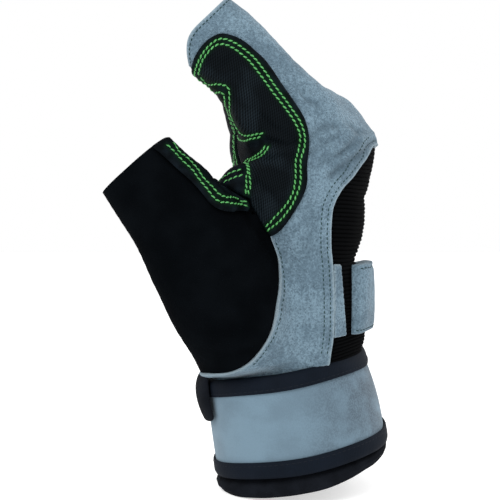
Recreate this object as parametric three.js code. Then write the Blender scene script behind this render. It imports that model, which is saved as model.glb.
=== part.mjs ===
// A right-hand weightlifting glove, standing as a hand fills it: suede palm and finger stalls, a stretch back,
// padded grip panels, an open black thumb and a bound wrist strap. Lengths are millimetres.
// +Z runs from the wrist to the fingers, -X is the palm's side and -Y is the thumb's side.
// The origin is the middle of the wrist opening, on the plane of the cuff's rim.
import * as THREE from "three";

// Driving sizes of the hand part.
const palmLength = 94; // wrist seam to knuckles
const palmDepth = 48; // back of the hand to palm
const palmWidth = 92; // across the knuckles
const fingerLength = 46; // finger root to rim
const fingerDepth = 36; // a stall, back to front
const fingerPitch = palmWidth / 4; // between neighbouring stalls
const stallRoom = 1.6; // between neighbouring stalls
const fingerWidth = fingerPitch - stallRoom; // a stall, side to side
const fingerLean = 43; // degrees that the fingers curl towards the palm
const thumbReach = 61; // how far the thumb stands out in front of the wrist seam
const thumbWidth = 32.4; // the thumb's rim, the broad way
const thumbDepth = 23; // the thumb's rim, the narrow way

// Driving sizes of the wrist part.
const wristRadius = 30.7; // outside of the cuff at the wrist seam
const cuffFlare = 3.2; // how much wider the cuff is at its rim
const wristTilt = 11.5; // degrees that the wrist leans away from +Z
const cuffHeight = 46; // rim to wrist seam
const strapHeight = 41.5; // width of the strap, bindings included
const strapLift = 4.6; // strap's lower edge above the rim
const strapStart = 58; // degrees round from the back of the wrist
const strapOverlap = 62; // degrees by which the strap's end laps over its start
const bindingWidth = 7;

// Thicknesses and clearances.
const skinWall = 1.6;
const cuffWall = 1.8;
const hemWall = 2.8;
const strapWall = 2.4;
const bindingWall = 0.8;
const padWall = 2.2;
const patchWall = 1.4;
const bandWall = 3.6;
const gap = 0.35; // between touching pieces
const padLift = 1.05; // from the skin to the pads on it, whose faces follow it less closely
const seamGap = 0.4; // from a seam's line to each panel beside it

const cell = 7; // grid of the skin's faces
const padCell = 5.8; // grid of the pads' faces
const stripCell = 4; // grid of the narrow strip's faces
const relaxings = 2;
const gradientStep = 0.2;

const UP = new THREE.Vector3(0, 0, 1);
const SIDE = new THREE.Vector3(0, 1, 0);
const radians = THREE.MathUtils.degToRad;
const vector = (x, y, z) => new THREE.Vector3(x, y, z);
const mix = THREE.MathUtils.lerp;

// The wrist's own frame: its axis, and the direction that leans with it.
const tilt = radians(wristTilt);
const wristAxis = vector(-Math.sin(tilt), 0, Math.cos(tilt));
const wristFore = vector(Math.cos(tilt), 0, Math.sin(tilt));

function wristPoint(height, angle, radius) {
  return vector(0, 0, 0)
    .addScaledVector(wristAxis, height)
    .addScaledVector(wristFore, radius * Math.cos(angle))
    .addScaledVector(SIDE, radius * Math.sin(angle));
}

// Every place on the hand is a share of its depth, width and length, from the wrist seam's middle.
const wristSeam = wristPoint(cuffHeight, 0, 0);

function handPoint(fore, side, up) {
  return vector(wristSeam.x + fore * palmDepth, side * palmWidth, wristSeam.z + up * palmLength);
}

const onHand = ({ fore, up }) => handPoint(fore, 0, up);

// Places on the fingers are shares of a stall's length and depth, from the root along the finger's axis.
const fingerRoot = handPoint(-0.096, 0, 1.139);
const fingerAxis = vector(-Math.sin(radians(fingerLean)), 0, Math.cos(radians(fingerLean)));
const fingerBack = vector(Math.cos(radians(fingerLean)), 0, Math.sin(radians(fingerLean)));

function fingerPoint(along, across) {
  return fingerRoot
    .clone()
    .addScaledVector(fingerAxis, along * fingerLength)
    .addScaledVector(fingerBack, across * fingerDepth);
}

// Limbs: smooth tubes whose sections are rounded rectangles, given by a row for each section.

// The hand, from the wrist seam to just past the finger roots. square is how square-cornered a section is.
const handRows = [
  { fore: 0.127, up: 0.134, depth: 0.604, width: 0.37, square: 2.2 },
  { fore: 0.2, up: 0.294, depth: 0.521, width: 0.413, square: 2.4 },
  { fore: 0.235, up: 0.496, depth: 0.45, width: 0.457, square: 2.6 },
  { fore: 0.265, up: 0.677, depth: 0.49, width: 0.484, square: 2.7 },
  { fore: 0.21, up: 0.836, depth: 0.562, width: 0.5, square: 2.7 },
  { fore: 0.205, up: 0.96, depth: 0.6, width: 0.5, square: 2.5 },
  { fore: 0.055, up: 1.05, depth: 0.46, width: 0.498, square: 2.4 },
  { fore: -0.055, up: 1.16, depth: 0.405, width: 0.496, square: 2.5 },
  { fore: -0.33, up: 1.3, depth: 0.35, width: 0.49, square: 2.5 },
];

// The thumb and its muscle. reach is a share of thumbReach, and broad and thin are shares of the rim's sizes.
const thumbRows = [
  { reach: 0.13, side: -0.152, up: -0.079, broad: 0.54, thin: 0.52 },
  { reach: 0.215, side: -0.228, up: 0.02, broad: 0.62, thin: 0.61 },
  { reach: 0.3, side: -0.315, up: 0.177, broad: 0.64, thin: 0.72 },
  { reach: 0.4, side: -0.397, up: 0.336, broad: 0.725, thin: 0.76 },
  { reach: 0.531, side: -0.457, up: 0.496, broad: 0.71, thin: 0.74 },
  { reach: 0.695, side: -0.489, up: 0.655, broad: 0.617, thin: 0.63 },
  { reach: 0.859, side: -0.505, up: 0.783, broad: 0.54, thin: 0.543 },
  { reach: 0.993, side: -0.511, up: 0.889, broad: 0.5, thin: 0.5, rim: true },
  { reach: 1.138, side: -0.514, up: 0.996, broad: 0.481, thin: 0.491 },
];
const thumbSquareness = 2.3;
const thumbRimRow = thumbRows.findIndex((r) => r.rim);

// The web of cloth between the thumb and the first finger, in the same shares.
const webRows = [
  { reach: -0.04, side: -0.27, up: 0.63, broad: 0.49, thin: 0.6 },
  { reach: 0.19, side: -0.36, up: 0.72, broad: 0.36, thin: 0.48 },
  { reach: 0.32, side: -0.41, up: 0.755, broad: 0.24, thin: 0.36 },
];

// The finger stalls: rows along a stall, and a row for each stall.
const stallRows = [
  { along: -0.25, across: 0.1, depth: 0.57, width: 0.5 },
  { along: 0, across: 0.08, depth: 0.53, width: 0.5 },
  { along: 0.14, across: 0.085, depth: 0.485, width: 0.5 },
  { along: 0.5, across: 0.09, depth: 0.445, width: 0.495 },
  { along: 0.75, across: 0.065, depth: 0.43, width: 0.49 },
  { along: 1, across: 0.02, depth: 0.42, width: 0.485 },
];
const stallSquareness = 2.6;
const fingers = [
  { name: "index", place: -1.5, length: 1, width: 1 },
  { name: "middle", place: -0.5, length: 1.03, width: 1 },
  { name: "ring", place: 0.5, length: 0.99, width: 0.98 },
  { name: "little", place: 1.5, length: 0.84, width: 0.9 },
];
const rimCutBack = 0.2; // the palm side of a stall's rim sits back by this share of its length
const rimArch = 0.03; // and its sides by this share

// A limb's centres and half sizes, drawn smoothly through its rows.
function limb(rows) {
  const steps = 4 * (rows.length - 1);
  const centres = new THREE.CatmullRomCurve3(rows.map((r) => r.centre));
  const halves = new THREE.CatmullRomCurve3(rows.map((r) => vector(r.broad, r.thin, r.square)));
  const stations = [];
  for (let i = 0; i <= steps; i++) {
    const half = halves.getPoint(i / steps);
    stations.push({ centre: centres.getPoint(i / steps), broad: half.x, thin: half.y, square: half.z });
  }
  return stations;
}

// Distance-like value of a point to a limb: negative inside, zero on its surface.
function limbValue(stations, point) {
  let least = Infinity;
  const along = vector(0, 0, 0);
  const offset = vector(0, 0, 0);
  for (let i = 0; i + 1 < stations.length; i++) {
    const [from, to] = [stations[i], stations[i + 1]];
    along.subVectors(to.centre, from.centre);
    const length = along.length();
    along.divideScalar(length);
    const share = THREE.MathUtils.clamp(offset.subVectors(point, from.centre).dot(along) / length, 0, 1);
    offset.addScaledVector(along, -share * length);
    const thinAxis = SIDE.clone().addScaledVector(along, -SIDE.dot(along)).normalize();
    const broadAxis = thinAxis.clone().cross(along);
    const broad = mix(from.broad, to.broad, share);
    const thin = mix(from.thin, to.thin, share);
    const square = mix(from.square, to.square, share);
    const size =
      (Math.abs(offset.dot(broadAxis) / broad) ** square +
        Math.abs(offset.dot(thinAxis) / thin) ** square +
        Math.abs(offset.dot(along) / Math.min(broad, thin)) ** square) **
      (1 / square);
    const distance = offset.length();
    least = Math.min(least, size > 1e-6 ? distance * (1 - 1 / size) : -Math.min(broad, thin));
  }
  return least;
}

// Two values joined with a soft valley between them.
function blend(a, b, softness) {
  const reach = Math.max(softness - Math.abs(a - b), 0) / softness;
  return Math.min(a, b) - (reach * reach * softness) / 4;
}

const roundWrist = { broad: wristRadius, thin: wristRadius, square: 2 };
const handLimb = limb([
  { centre: wristPoint(cuffHeight * 0.6, 0, 0), ...roundWrist },
  { centre: wristSeam, ...roundWrist },
  ...handRows.map((r) => ({
    centre: onHand(r),
    broad: r.depth * palmDepth,
    thin: r.width * palmWidth,
    square: r.square,
  })),
]);
const onThumbSide = (r) => ({
  centre: vector(wristSeam.x - r.reach * thumbReach, r.side * palmWidth, wristSeam.z + r.up * palmLength),
  broad: r.broad * thumbWidth,
  thin: r.thin * thumbDepth,
  square: thumbSquareness,
});
const thumbStations = thumbRows.map(onThumbSide);
const thumbLimb = limb(thumbStations);
const webLimb = limb(webRows.map(onThumbSide));
const thumbBlend = 10; // softness of the fold between thumb and palm
const webBlend = 9;
const fingerBlend = 5;
const muscleFade = { from: 2, to: 10 }; // heights above the seam between which the thumb's muscle swells

function stallLimb(finger) {
  const rows = stallRows.map((r) => ({
    centre: fingerPoint(r.along * finger.length, r.across).setY(finger.place * fingerPitch),
    broad: r.depth * fingerDepth,
    thin: r.width * fingerWidth * finger.width,
    square: stallSquareness,
  }));
  const [last, before] = [rows.at(-1), rows.at(-2)];
  const beyond = last.centre.clone().multiplyScalar(2).sub(before.centre);
  return limb([...rows, { ...last, centre: beyond }]);
}

const seamHeight = (p) => p.clone().sub(wristSeam).dot(wristAxis);

function mittenValue(p) {
  const hand = limbValue(handLimb, p);
  const webbed = blend(hand, limbValue(webLimb, p), webBlend);
  const whole = blend(webbed, limbValue(thumbLimb, p), thumbBlend);
  return mix(hand, whole, THREE.MathUtils.smoothstep(seamHeight(p), muscleFade.from, muscleFade.to));
}

const stallLimbs = Object.fromEntries(fingers.map((f) => [f.name, stallLimb(f)]));
const withFinger = (name) => (p) => blend(mittenValue(p), limbValue(stallLimbs[name], p), fingerBlend);

function gradient(value, point) {
  const slope = (axis) => {
    const ahead = point.clone();
    const behind = point.clone();
    ahead[axis] += gradientStep;
    behind[axis] -= gradientStep;
    return (value(ahead) - value(behind)) / (2 * gradientStep);
  };
  return vector(slope("x"), slope("y"), slope("z"));
}

// Moves a point onto the zero surface of a value.
function settle(value, point) {
  for (let i = 0; i < 3; i++) {
    const slope = gradient(value, point);
    point.addScaledVector(slope, -value(point) / Math.max(slope.lengthSq(), 0.05));
  }
  return point;
}

// The zero surface of a value inside a box, as one point for each grid cell that it crosses.
function surfaceOf(value, low, high, size) {
  const count = ["x", "y", "z"].map((a) => Math.ceil((high[a] - low[a]) / size));
  const [nx, ny, nz] = count.map((n) => n + 1);
  const index = (i, j, k) => (i * ny + j) * nz + k;
  const place = (i, j, k) => vector(low.x + i * size, low.y + j * size, low.z + k * size);
  const samples = new Float64Array(nx * ny * nz);
  for (let i = 0; i < nx; i++)
    for (let j = 0; j < ny; j++)
      for (let k = 0; k < nz; k++) samples[index(i, j, k)] = value(place(i, j, k));
  const points = [];
  const cellPoint = new Map();
  const corners = Array.from({ length: 8 }, (_, c) => [c & 1, (c >> 1) & 1, c >> 2]);
  const edges = corners.flatMap((a, i) =>
    corners.slice(i + 1).flatMap((b) => {
      const steps = a.reduce((sum, v, n) => sum + Math.abs(v - b[n]), 0);
      return steps === 1 ? [[a, b]] : [];
    }),
  );
  for (let i = 0; i + 1 < nx; i++)
    for (let j = 0; j + 1 < ny; j++)
      for (let k = 0; k + 1 < nz; k++) {
        const sum = vector(0, 0, 0);
        let crossings = 0;
        for (const [a, b] of edges) {
          const va = samples[index(i + a[0], j + a[1], k + a[2])];
          const vb = samples[index(i + b[0], j + b[1], k + b[2])];
          if (va < 0 === vb < 0) continue;
          const pa = place(i + a[0], j + a[1], k + a[2]);
          sum.add(pa.lerp(place(i + b[0], j + b[1], k + b[2]), va / (va - vb)));
          crossings++;
        }
        if (!crossings) continue;
        cellPoint.set(index(i, j, k), points.length);
        points.push(settle(value, sum.divideScalar(crossings)));
      }
  const faces = [];
  const quad = (a, b, c, d, flip) => {
    if ([a, b, c, d].some((v) => v === undefined)) return;
    const [p, q, r, s] = flip ? [d, c, b, a] : [a, b, c, d];
    if (points[p].distanceTo(points[r]) < points[q].distanceTo(points[s])) faces.push([p, q, r], [p, r, s]);
    else faces.push([q, r, s], [q, s, p]);
  };
  const at = (i, j, k) => cellPoint.get(index(i, j, k));
  for (let i = 1; i + 1 < nx; i++)
    for (let j = 1; j + 1 < ny; j++)
      for (let k = 1; k + 1 < nz; k++) {
        const here = samples[index(i, j, k)] < 0;
        if (here !== samples[index(i + 1, j, k)] < 0)
          quad(at(i, j - 1, k - 1), at(i, j, k - 1), at(i, j, k), at(i, j - 1, k), !here);
        if (here !== samples[index(i, j + 1, k)] < 0)
          quad(at(i - 1, j, k - 1), at(i - 1, j, k), at(i, j, k), at(i, j, k - 1), !here);
        if (here !== samples[index(i, j, k + 1)] < 0)
          quad(at(i - 1, j - 1, k), at(i, j - 1, k), at(i, j, k), at(i - 1, j, k), !here);
      }
  for (let i = 0; i < relaxings; i++) relax(points, faces, value);
  return { points, faces };
}

// Evens out the faces: each corner inside a sheet moves to the middle of its neighbours, then back to the surface.
function relax(points, faces, value) {
  const around = points.map(() => new Map());
  for (const face of faces)
    face.forEach((a, n) => {
      for (const b of [face[(n + 1) % 3], face[(n + 2) % 3]]) around[a].set(b, (around[a].get(b) ?? 0) + 1);
    });
  const moved = points.map((p, v) => {
    const inner = around[v].size > 2 && [...around[v].values()].every((uses) => uses === 2);
    if (!inner) return p;
    const middle = vector(0, 0, 0);
    for (const other of around[v].keys()) middle.addScaledVector(points[other], 1 / around[v].size);
    return settle(value, middle);
  });
  moved.forEach((p, v) => points[v].copy(p));
}

// The part of a surface where a region's value is positive, cut cleanly along the region's edge.
function cutTo(region, { points, faces }, value, size) {
  const kept = points.map((p) => p.clone());
  const sides = kept.map((p) => {
    const side = region(p);
    if (Math.abs(side) > 0.28 * size) return side;
    const slope = gradient(region, p);
    const normal = gradient(value, p).normalize();
    slope.addScaledVector(normal, -slope.dot(normal));
    if (slope.lengthSq() < 0.05) return side;
    const moved = p.clone().addScaledVector(slope, -side / slope.lengthSq());
    if (moved.distanceTo(p) > 0.45 * size) return side;
    p.copy(settle(value, moved));
    return 0;
  });
  const cuts = new Map();
  const crossing = (a, b) => {
    const key = a < b ? `${a}_${b}` : `${b}_${a}`;
    if (!cuts.has(key)) {
      const share = sides[a] / (sides[a] - sides[b]);
      cuts.set(key, kept.length);
      kept.push(settle(value, kept[a].clone().lerp(kept[b], share)));
    }
    return cuts.get(key);
  };
  const made = [];
  for (const face of faces) {
    const inside = face.filter((v) => sides[v] > 0).length;
    const outside = face.filter((v) => sides[v] < 0).length;
    if (!outside) {
      const middle = vector(0, 0, 0);
      face.forEach((v) => middle.addScaledVector(kept[v], 1 / 3));
      if (inside || region(middle) > 0) made.push(face);
    } else if (inside) {
      const ring = [];
      face.forEach((a, n) => {
        const b = face[(n + 1) % 3];
        if (sides[a] >= 0) ring.push(a);
        if (sides[a] * sides[b] < 0) ring.push(crossing(a, b));
      });
      for (let n = 1; n + 1 < ring.length; n++) made.push([ring[0], ring[n], ring[n + 1]]);
    }
  }
  return largestSheet({ points: kept, faces: made });
}

// The largest connected sheet, without faces that hang on by one corner.
function largestSheet({ points, faces }) {
  const edgeFaces = new Map();
  faces.forEach((face, f) =>
    face.forEach((a, n) => {
      const b = face[(n + 1) % 3];
      const key = a < b ? `${a}_${b}` : `${b}_${a}`;
      if (!edgeFaces.has(key)) edgeFaces.set(key, []);
      edgeFaces.get(key).push(f);
    }),
  );
  const links = faces.map(() => []);
  for (const [first, second] of edgeFaces.values())
    if (second !== undefined) {
      links[first].push(second);
      links[second].push(first);
    }
  const group = faces.map(() => -1);
  const sizes = [];
  faces.forEach((_, start) => {
    if (group[start] >= 0) return;
    const waiting = [start];
    group[start] = sizes.length;
    sizes.push(0);
    while (waiting.length) {
      const f = waiting.pop();
      sizes[group[f]]++;
      for (const next of links[f])
        if (group[next] < 0) {
          group[next] = group[f];
          waiting.push(next);
        }
    }
  });
  const best = sizes.indexOf(Math.max(...sizes));
  return { points, faces: faces.filter((_, f) => group[f] === best) };
}

// A closed solid from an open sheet: its outer face lies lift outside the sheet, and its inner one wall further in.
function thicken({ points, faces }, value, lift, wall) {
  const used = new Map();
  for (const v of faces.flat()) if (!used.has(v)) used.set(v, used.size);
  const normals = [...used.keys()].map((v) => gradient(value, points[v]).normalize());
  const layer = (height) =>
    [...used.keys()].map((v, n) => points[v].clone().addScaledVector(normals[n], height));
  const count = used.size;
  const all = [...layer(lift), ...layer(lift - wall)];
  const outer = faces.map((face) => face.map((v) => used.get(v)));
  const inner = outer.map(([a, b, c]) => [a + count, c + count, b + count]);
  const directed = new Set(outer.flatMap(([a, b, c]) => [`${a}_${b}`, `${b}_${c}`, `${c}_${a}`]));
  const walls = [];
  for (const key of directed) {
    const [a, b] = key.split("_").map(Number);
    if (directed.has(`${b}_${a}`)) continue;
    walls.push([b, a, a + count], [b, a + count, b + count]);
  }
  return geometryOf(all, [...outer, ...inner, ...walls]);
}

// A solid's geometry, with its faces turned outwards.
function geometryOf(points, faces) {
  const volume = faces.reduce((sum, [a, b, c]) => sum + points[a].dot(points[b].clone().cross(points[c])), 0);
  const turned = volume < 0 ? faces.map(([a, b, c]) => [a, c, b]) : faces;
  return new THREE.BufferGeometry()
    .setAttribute("position", new THREE.Float32BufferAttribute(points.flatMap((p) => p.toArray()), 3))
    .setIndex(turned.flat());
}

// A closed section carried along stations. A loop of stations closes on itself; an open run gets end faces.
function sweep(stations, section, closed) {
  const size = section.length;
  const faces = [];
  const runs = closed ? stations.length : stations.length - 1;
  for (let s = 0; s < runs; s++)
    for (let i = 0; i < size; i++) {
      const [a, b] = [s * size + i, s * size + ((i + 1) % size)];
      const next = ((s + 1) % stations.length) * size - s * size;
      faces.push([a, b, b + next], [a, b + next, a + next]);
    }
  if (!closed) {
    const last = (stations.length - 1) * size;
    const direction = Math.sign(THREE.ShapeUtils.area(section));
    for (const corners of THREE.ShapeUtils.triangulateShape(section, [])) {
      const own = Math.sign(THREE.ShapeUtils.area(corners.map((c) => section[c])));
      const [a, b, c] = own === direction ? corners : corners.toReversed();
      faces.push([a, c, b], [a + last, b + last, c + last]);
    }
  }
  return geometryOf(stations.flat(), faces);
}

// Regions of the hand. Seam lines are tables in the hand's side view.
const backSeam = [
  { fore: 0.34, up: -0.2 },
  { fore: 0.38, up: 0.06 },
  { fore: 0.4, up: 0.16 },
  { fore: 0.4, up: 0.31 },
  { fore: 0.385, up: 0.46 },
  { fore: 0.37, up: 0.54 },
  { fore: 0.37, up: 0.64 },
  { fore: 0.385, up: 0.71 },
  { fore: 0.445, up: 0.775 },
  { fore: 0.555, up: 0.845 },
  { fore: 0.69, up: 0.94 },
  { fore: 0.84, up: 1.02 },
  { fore: 1.6, up: 1.1 },
  { fore: 1.6, up: -0.2 },
];
const thumbSeam = [
  { fore: -0.5, up: -0.2 },
  { fore: -0.42, up: -0.05 },
  { fore: -0.32, up: 0.035 },
  { fore: -0.185, up: 0.128 },
  { fore: -0.12, up: 0.195 },
  { fore: -0.079, up: 0.295 },
  { fore: -0.056, up: 0.395 },
  { fore: -0.071, up: 0.495 },
  { fore: -0.137, up: 0.594 },
  { fore: -0.165, up: 0.65 },
  { fore: -0.3, up: 0.72 },
  { fore: -0.54, up: 0.83 },
  { fore: -0.95, up: 1.3 },
  { fore: -2.4, up: 1.3 },
  { fore: -2.4, up: -0.2 },
];
// Where the thumb's cloth ends on the palm: side is the share of the palm's width that it reaches.
const lifeLine = [
  { up: -0.1, side: -0.2 },
  { up: 0.2, side: -0.1 },
  { up: 0.45, side: -0.13 },
  { up: 0.65, side: -0.24 },
  { up: 0.8, side: -0.36 },
  { up: 1.1, side: -0.4 },
];

// Signed distance to a closed outline in the side view, positive inside.
function outlineValue(outline, x, z) {
  let inside = false;
  let nearest = Infinity;
  outline.forEach((a, n) => {
    const b = outline[(n + 1) % outline.length];
    const [dx, dz] = [b.x - a.x, b.z - a.z];
    const share = THREE.MathUtils.clamp(((x - a.x) * dx + (z - a.z) * dz) / (dx * dx + dz * dz), 0, 1);
    nearest = Math.min(nearest, Math.hypot(x - a.x - share * dx, z - a.z - share * dz));
    if (a.z > z !== b.z > z && x < a.x + ((z - a.z) / (b.z - a.z)) * (b.x - a.x)) inside = !inside;
  });
  return inside ? nearest : -nearest;
}

// A table's places joined by a smooth closed line.
function smoothOutline(places) {
  return new THREE.CatmullRomCurve3(places, true, "centripetal").getPoints(places.length * 4).slice(0, -1);
}

function tableValue(rows, key, column, at) {
  const next = rows.findIndex((r) => r[key] > at);
  if (next < 0) return rows.at(-1)[column];
  if (next === 0) return rows[0][column];
  const [a, b] = [rows[next - 1], rows[next]];
  return mix(a[column], b[column], (at - a[key]) / (b[key] - a[key]));
}

const backOutline = backSeam.map(onHand);
const thumbOutline = thumbSeam.map(onHand);
const lifeSide = (z) => tableValue(lifeLine, "up", "side", (z - wristSeam.z) / palmLength) * palmWidth;
const inBack = (p) => outlineValue(backOutline, p.x, p.z);
const inThumb = (p) => Math.min(outlineValue(thumbOutline, p.x, p.z), 0.9 * (lifeSide(p.z) - p.y));

// Planes that end the skin: the cuff's seam, the thumb's rim and the finger roots.
const strapTop = strapLift + strapHeight;
const skinFoot = strapTop + 2 * gap; // the skin ends just above the strap's upper edge
const aboveWrist = (p) => seamHeight(p) + cuffHeight - skinFoot;
const thumbRim = thumbStations[thumbRimRow].centre;
const thumbAxis = thumbStations[thumbRimRow + 1].centre.clone().sub(thumbRim).normalize();
const belowThumbRim = (p) => -p.clone().sub(thumbRim).dot(thumbAxis);
const belowRoots = (p) => -p.clone().sub(fingerRoot).dot(fingerAxis);
const onThumb = (p) => limbValue(thumbLimb, p) < limbValue(handLimb, p);
const insideEnds = (p) => Math.min(aboveWrist(p), onThumb(p) ? belowThumbRim(p) : belowRoots(p) - seamGap);

const skinLow = vector(wristSeam.x - 1.35 * thumbReach, -0.75 * palmWidth, wristSeam.z - 2 * cell);
const skinHigh = vector(wristSeam.x + palmDepth, 0.62 * palmWidth, fingerPoint(0.3, 0.7).z);
const mitten = surfaceOf(mittenValue, skinLow, skinHigh, cell);

function panel(region) {
  const bounded = (p) => Math.min(region(p), insideEnds(p));
  return thicken(cutTo(bounded, mitten, mittenValue, cell), mittenValue, 0, skinWall);
}

// A finger stall: a tube with an open rim that is cut back on the palm's side.
const stallSides = 18;
const stallSteps = 6;

function stall(finger) {
  const stations = stallLimbs[finger.name];
  const centres = new THREE.CatmullRomCurve3(stations.map((s) => s.centre));
  const halves = new THREE.CatmullRomCurve3(stations.map((s) => vector(s.broad, s.thin, 0)));
  const length = fingerLength * finger.length;
  const sections = [];
  for (let i = 0; i < stallSides; i++) {
    const angle = (-2 * Math.PI * i) / stallSides;
    const [c, s] = [Math.cos(angle), Math.sin(angle)];
    const reach = (Math.abs(c) ** stallSquareness + Math.abs(s) ** stallSquareness) ** (-1 / stallSquareness);
    const end = length * (1 - rimArch * s * s - rimCutBack * Math.max(0, -c) ** 2);
    const wallPoint = (step, inset) => {
      const along = mix(gap, end, step / stallSteps);
      const share = stationShare(stations, along);
      const half = halves.getPoint(share);
      return centres
        .getPoint(share)
        .addScaledVector(fingerBack, (half.x - inset) * reach * c)
        .addScaledVector(SIDE, (half.y - inset) * reach * s);
    };
    const steps = [...Array(stallSteps + 1).keys()];
    sections.push([
      ...steps.map((n) => wallPoint(n, 0)),
      ...steps.reverse().map((n) => wallPoint(n, skinWall)),
    ]);
  }
  return sweep(sections, sections[0], true);
}

// The share of a stall's curve that lies at a distance along the finger from its root.
function stationShare(stations, along) {
  const heights = stations.map((s) => s.centre.clone().sub(fingerRoot).dot(fingerAxis));
  const next = Math.max(1, heights.findIndex((h) => h > along));
  const share = (along - heights[next - 1]) / (heights[next] - heights[next - 1]);
  return (next - 1 + share) / (stations.length - 1);
}

// Grip panels, cut from the surface of the hand with its finger and laid on top of the skin. Each outline is
// a closed line in the side view, and it runs out past the palm where the panel wraps round it.
const indexPad = [
  { along: 0.71, across: -0.43 },
  { along: 0.773, across: -0.277 },
  { along: 0.797, across: -0.13 },
  { along: 0.79, across: 0 },
  { along: 0.75, across: 0.11 },
  { along: 0.6, across: 0.215 },
  { along: 0.44, across: 0.24 },
  { along: 0.25, across: 0.228 },
  { along: 0.1, across: 0.195 },
  { along: -0.14, across: 0.152 },
  { fore: 0.144, up: 1.078 },
  { fore: 0.18, up: 1.02 },
  { fore: 0.185, up: 0.955 },
  { fore: 0.17, up: 0.835 },
  { fore: 0.155, up: 0.765 },
  { fore: 0.037, up: 0.667 },
  { fore: -0.053, up: 0.608 },
  { fore: -0.127, up: 0.593 },
  { fore: -0.2, up: 0.65 },
  { fore: -0.315, up: 0.73 },
  { fore: -0.33, up: 0.77 },
  { fore: -0.44, up: 0.9 },
  { fore: -0.68, up: 1.09 },
  { fore: -1.1, up: 1.2 },
  { along: 0.65, across: -0.9 },
];
const fingerPad = [
  { along: 0.6, across: -0.9 },
  { along: 0.72, across: -0.3 },
  { along: 0.5, across: -0.16 },
  { along: 0.1, across: -0.16 },
  { along: -0.1, across: -0.3 },
  { along: -0.14, across: -0.9 },
];
const palmPad = [
  { fore: -0.9, up: 0.82 },
  { fore: -0.2, up: 0.82 },
  { fore: -0.05, up: 0.7 },
  { fore: 0, up: 0.4 },
  { fore: -0.1, up: 0.22 },
  { fore: -0.9, up: 0.18 },
];
const thumbPatch = [
  { fore: -1.05, up: 1 },
  { fore: -1.015, up: 0.977 },
  { fore: -0.859, up: 0.885 },
  { fore: -0.744, up: 0.839 },
  { fore: -0.621, up: 0.788 },
  { fore: -0.53, up: 0.729 },
  { fore: -0.44, up: 0.713 },
  { fore: -0.355, up: 0.706 },
  { fore: -0.355, up: 0.76 },
  { fore: -0.47, up: 0.9 },
  { fore: -0.72, up: 1.12 },
  { fore: -1.05, up: 1.25 },
];

// The band across the back: a hemmed loop, and the strip of suede that it is sewn down to.
const bandPad = [
  { fore: 0.545, up: 0.48 },
  { fore: 1.7, up: 0.48 },
  { fore: 1.7, up: 0.14 },
  { fore: 0.57, up: 0.14 },
  { fore: 0.53, up: 0.3 },
];
const bandStrip = [
  { fore: 0.4, up: 0.48 },
  { fore: 0.475, up: 0.48 },
  { fore: 0.515, up: 0.14 },
  { fore: 0.4, up: 0.14 },
];

const placeOf = (row) => (row.along === undefined ? onHand(row) : fingerPoint(row.along, row.across));
const padEdge = 1.3; // a finger's pad stops this far short of the middle between two fingers
const palmEdge = 0.42; // the palm pad's far edge, as a share of the palm's width
const palmNearEdge = 0.21; // and its near edge, where the thumb's cloth leaves it room
const thumbPatchEdge = 0.3; // how near to the palm's middle the thumb's patch comes, as such a share

// A padded piece on the skin: the part of a surface inside an outline and within its limits from side to side.
function overlay(value, places, rounded, limits, wall, size = padCell) {
  const points = places.map(placeOf);
  const outline = rounded ? smoothOutline(points) : points;
  const region = (p) => Math.min(outlineValue(outline, p.x, p.z), limits(p));
  const box = new THREE.Box3().setFromPoints(points).expandByScalar(2 * size);
  const low = vector(Math.max(box.min.x, skinLow.x), skinLow.y, box.min.z);
  const high = vector(Math.min(box.max.x, skinHigh.x), skinHigh.y, box.max.z);
  const sheet = cutTo(region, surfaceOf(value, low, high, size), value, size);
  return thicken(sheet, value, padLift + wall, wall);
}

// A finger's pad keeps to its own column of the palm.
function fingerColumn(finger) {
  const middle = finger.place * fingerPitch;
  const half = fingerPitch / 2 - padEdge;
  if (finger === fingers[0]) return (p) => middle + half - p.y;
  return (p) => half - Math.abs(p.y - middle);
}

// Around the wrist: radii are measured out from the cuff's own outside.
const cuffRadius = (height) => wristRadius + cuffFlare * (1 - height / cuffHeight);
const hemTop = strapLift - gap;
const hemFlare = 3; // how far the rolled hem swells out below the strap
const cuffSides = 30;

// The rim's wave, by degrees round from the back of the wrist: how high it stands above the origin, as a
// share of the wave's size.
const rimWave = 4;
const rimRows = [
  { turn: 0, height: 0.65 },
  { turn: 45, height: 0.1 },
  { turn: 90, height: -0.55 },
  { turn: 135, height: -0.65 },
  { turn: 180, height: 0 },
  { turn: 225, height: -0.65 },
  { turn: 270, height: -0.95 },
  { turn: 315, height: 0.2 },
];
const rimLine = new THREE.CatmullRomCurve3(
  rimRows.map((r) => vector(r.height * rimWave, 0, 0)),
  true,
);
const cuffRows = [0.32, 0.58, 0.82]; // shares of the cuff's height at which its wall has a row of corners
const hemRows = [
  { down: 0.35, swell: 0.45 },
  { down: 0.75, swell: 1 },
  { down: 1, swell: 0.75 },
];

function cuff() {
  const sections = [];
  for (let i = 0; i < cuffSides; i++) {
    const share = i / cuffSides;
    const rim = rimLine.getPoint(share).x;
    const flare = hemFlare * THREE.MathUtils.clamp((hemTop - rim) / strapLift, 0, 1);
    const wallRows = [strapTop, ...cuffRows.map((r) => mix(strapTop, hemTop, r)), hemTop].map((height) => ({
      height,
      out: 0,
      wall: cuffWall,
    }));
    const rimPart = hemRows.map((r) => ({
      height: mix(hemTop, rim, r.down),
      out: flare * r.swell,
      wall: r.down < 1 ? hemWall : hemWall * 0.5,
    }));
    const rows = [...wallRows, ...rimPart];
    const at = ({ height, out }, inset) =>
      wristPoint(height, 2 * Math.PI * share, cuffRadius(height) + out - inset);
    sections.push([...rows.map((r) => at(r, 0)), ...rows.reverse().map((r) => at(r, r.wall))]);
  }
  return sweep(sections, sections[0], true);
}

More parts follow.
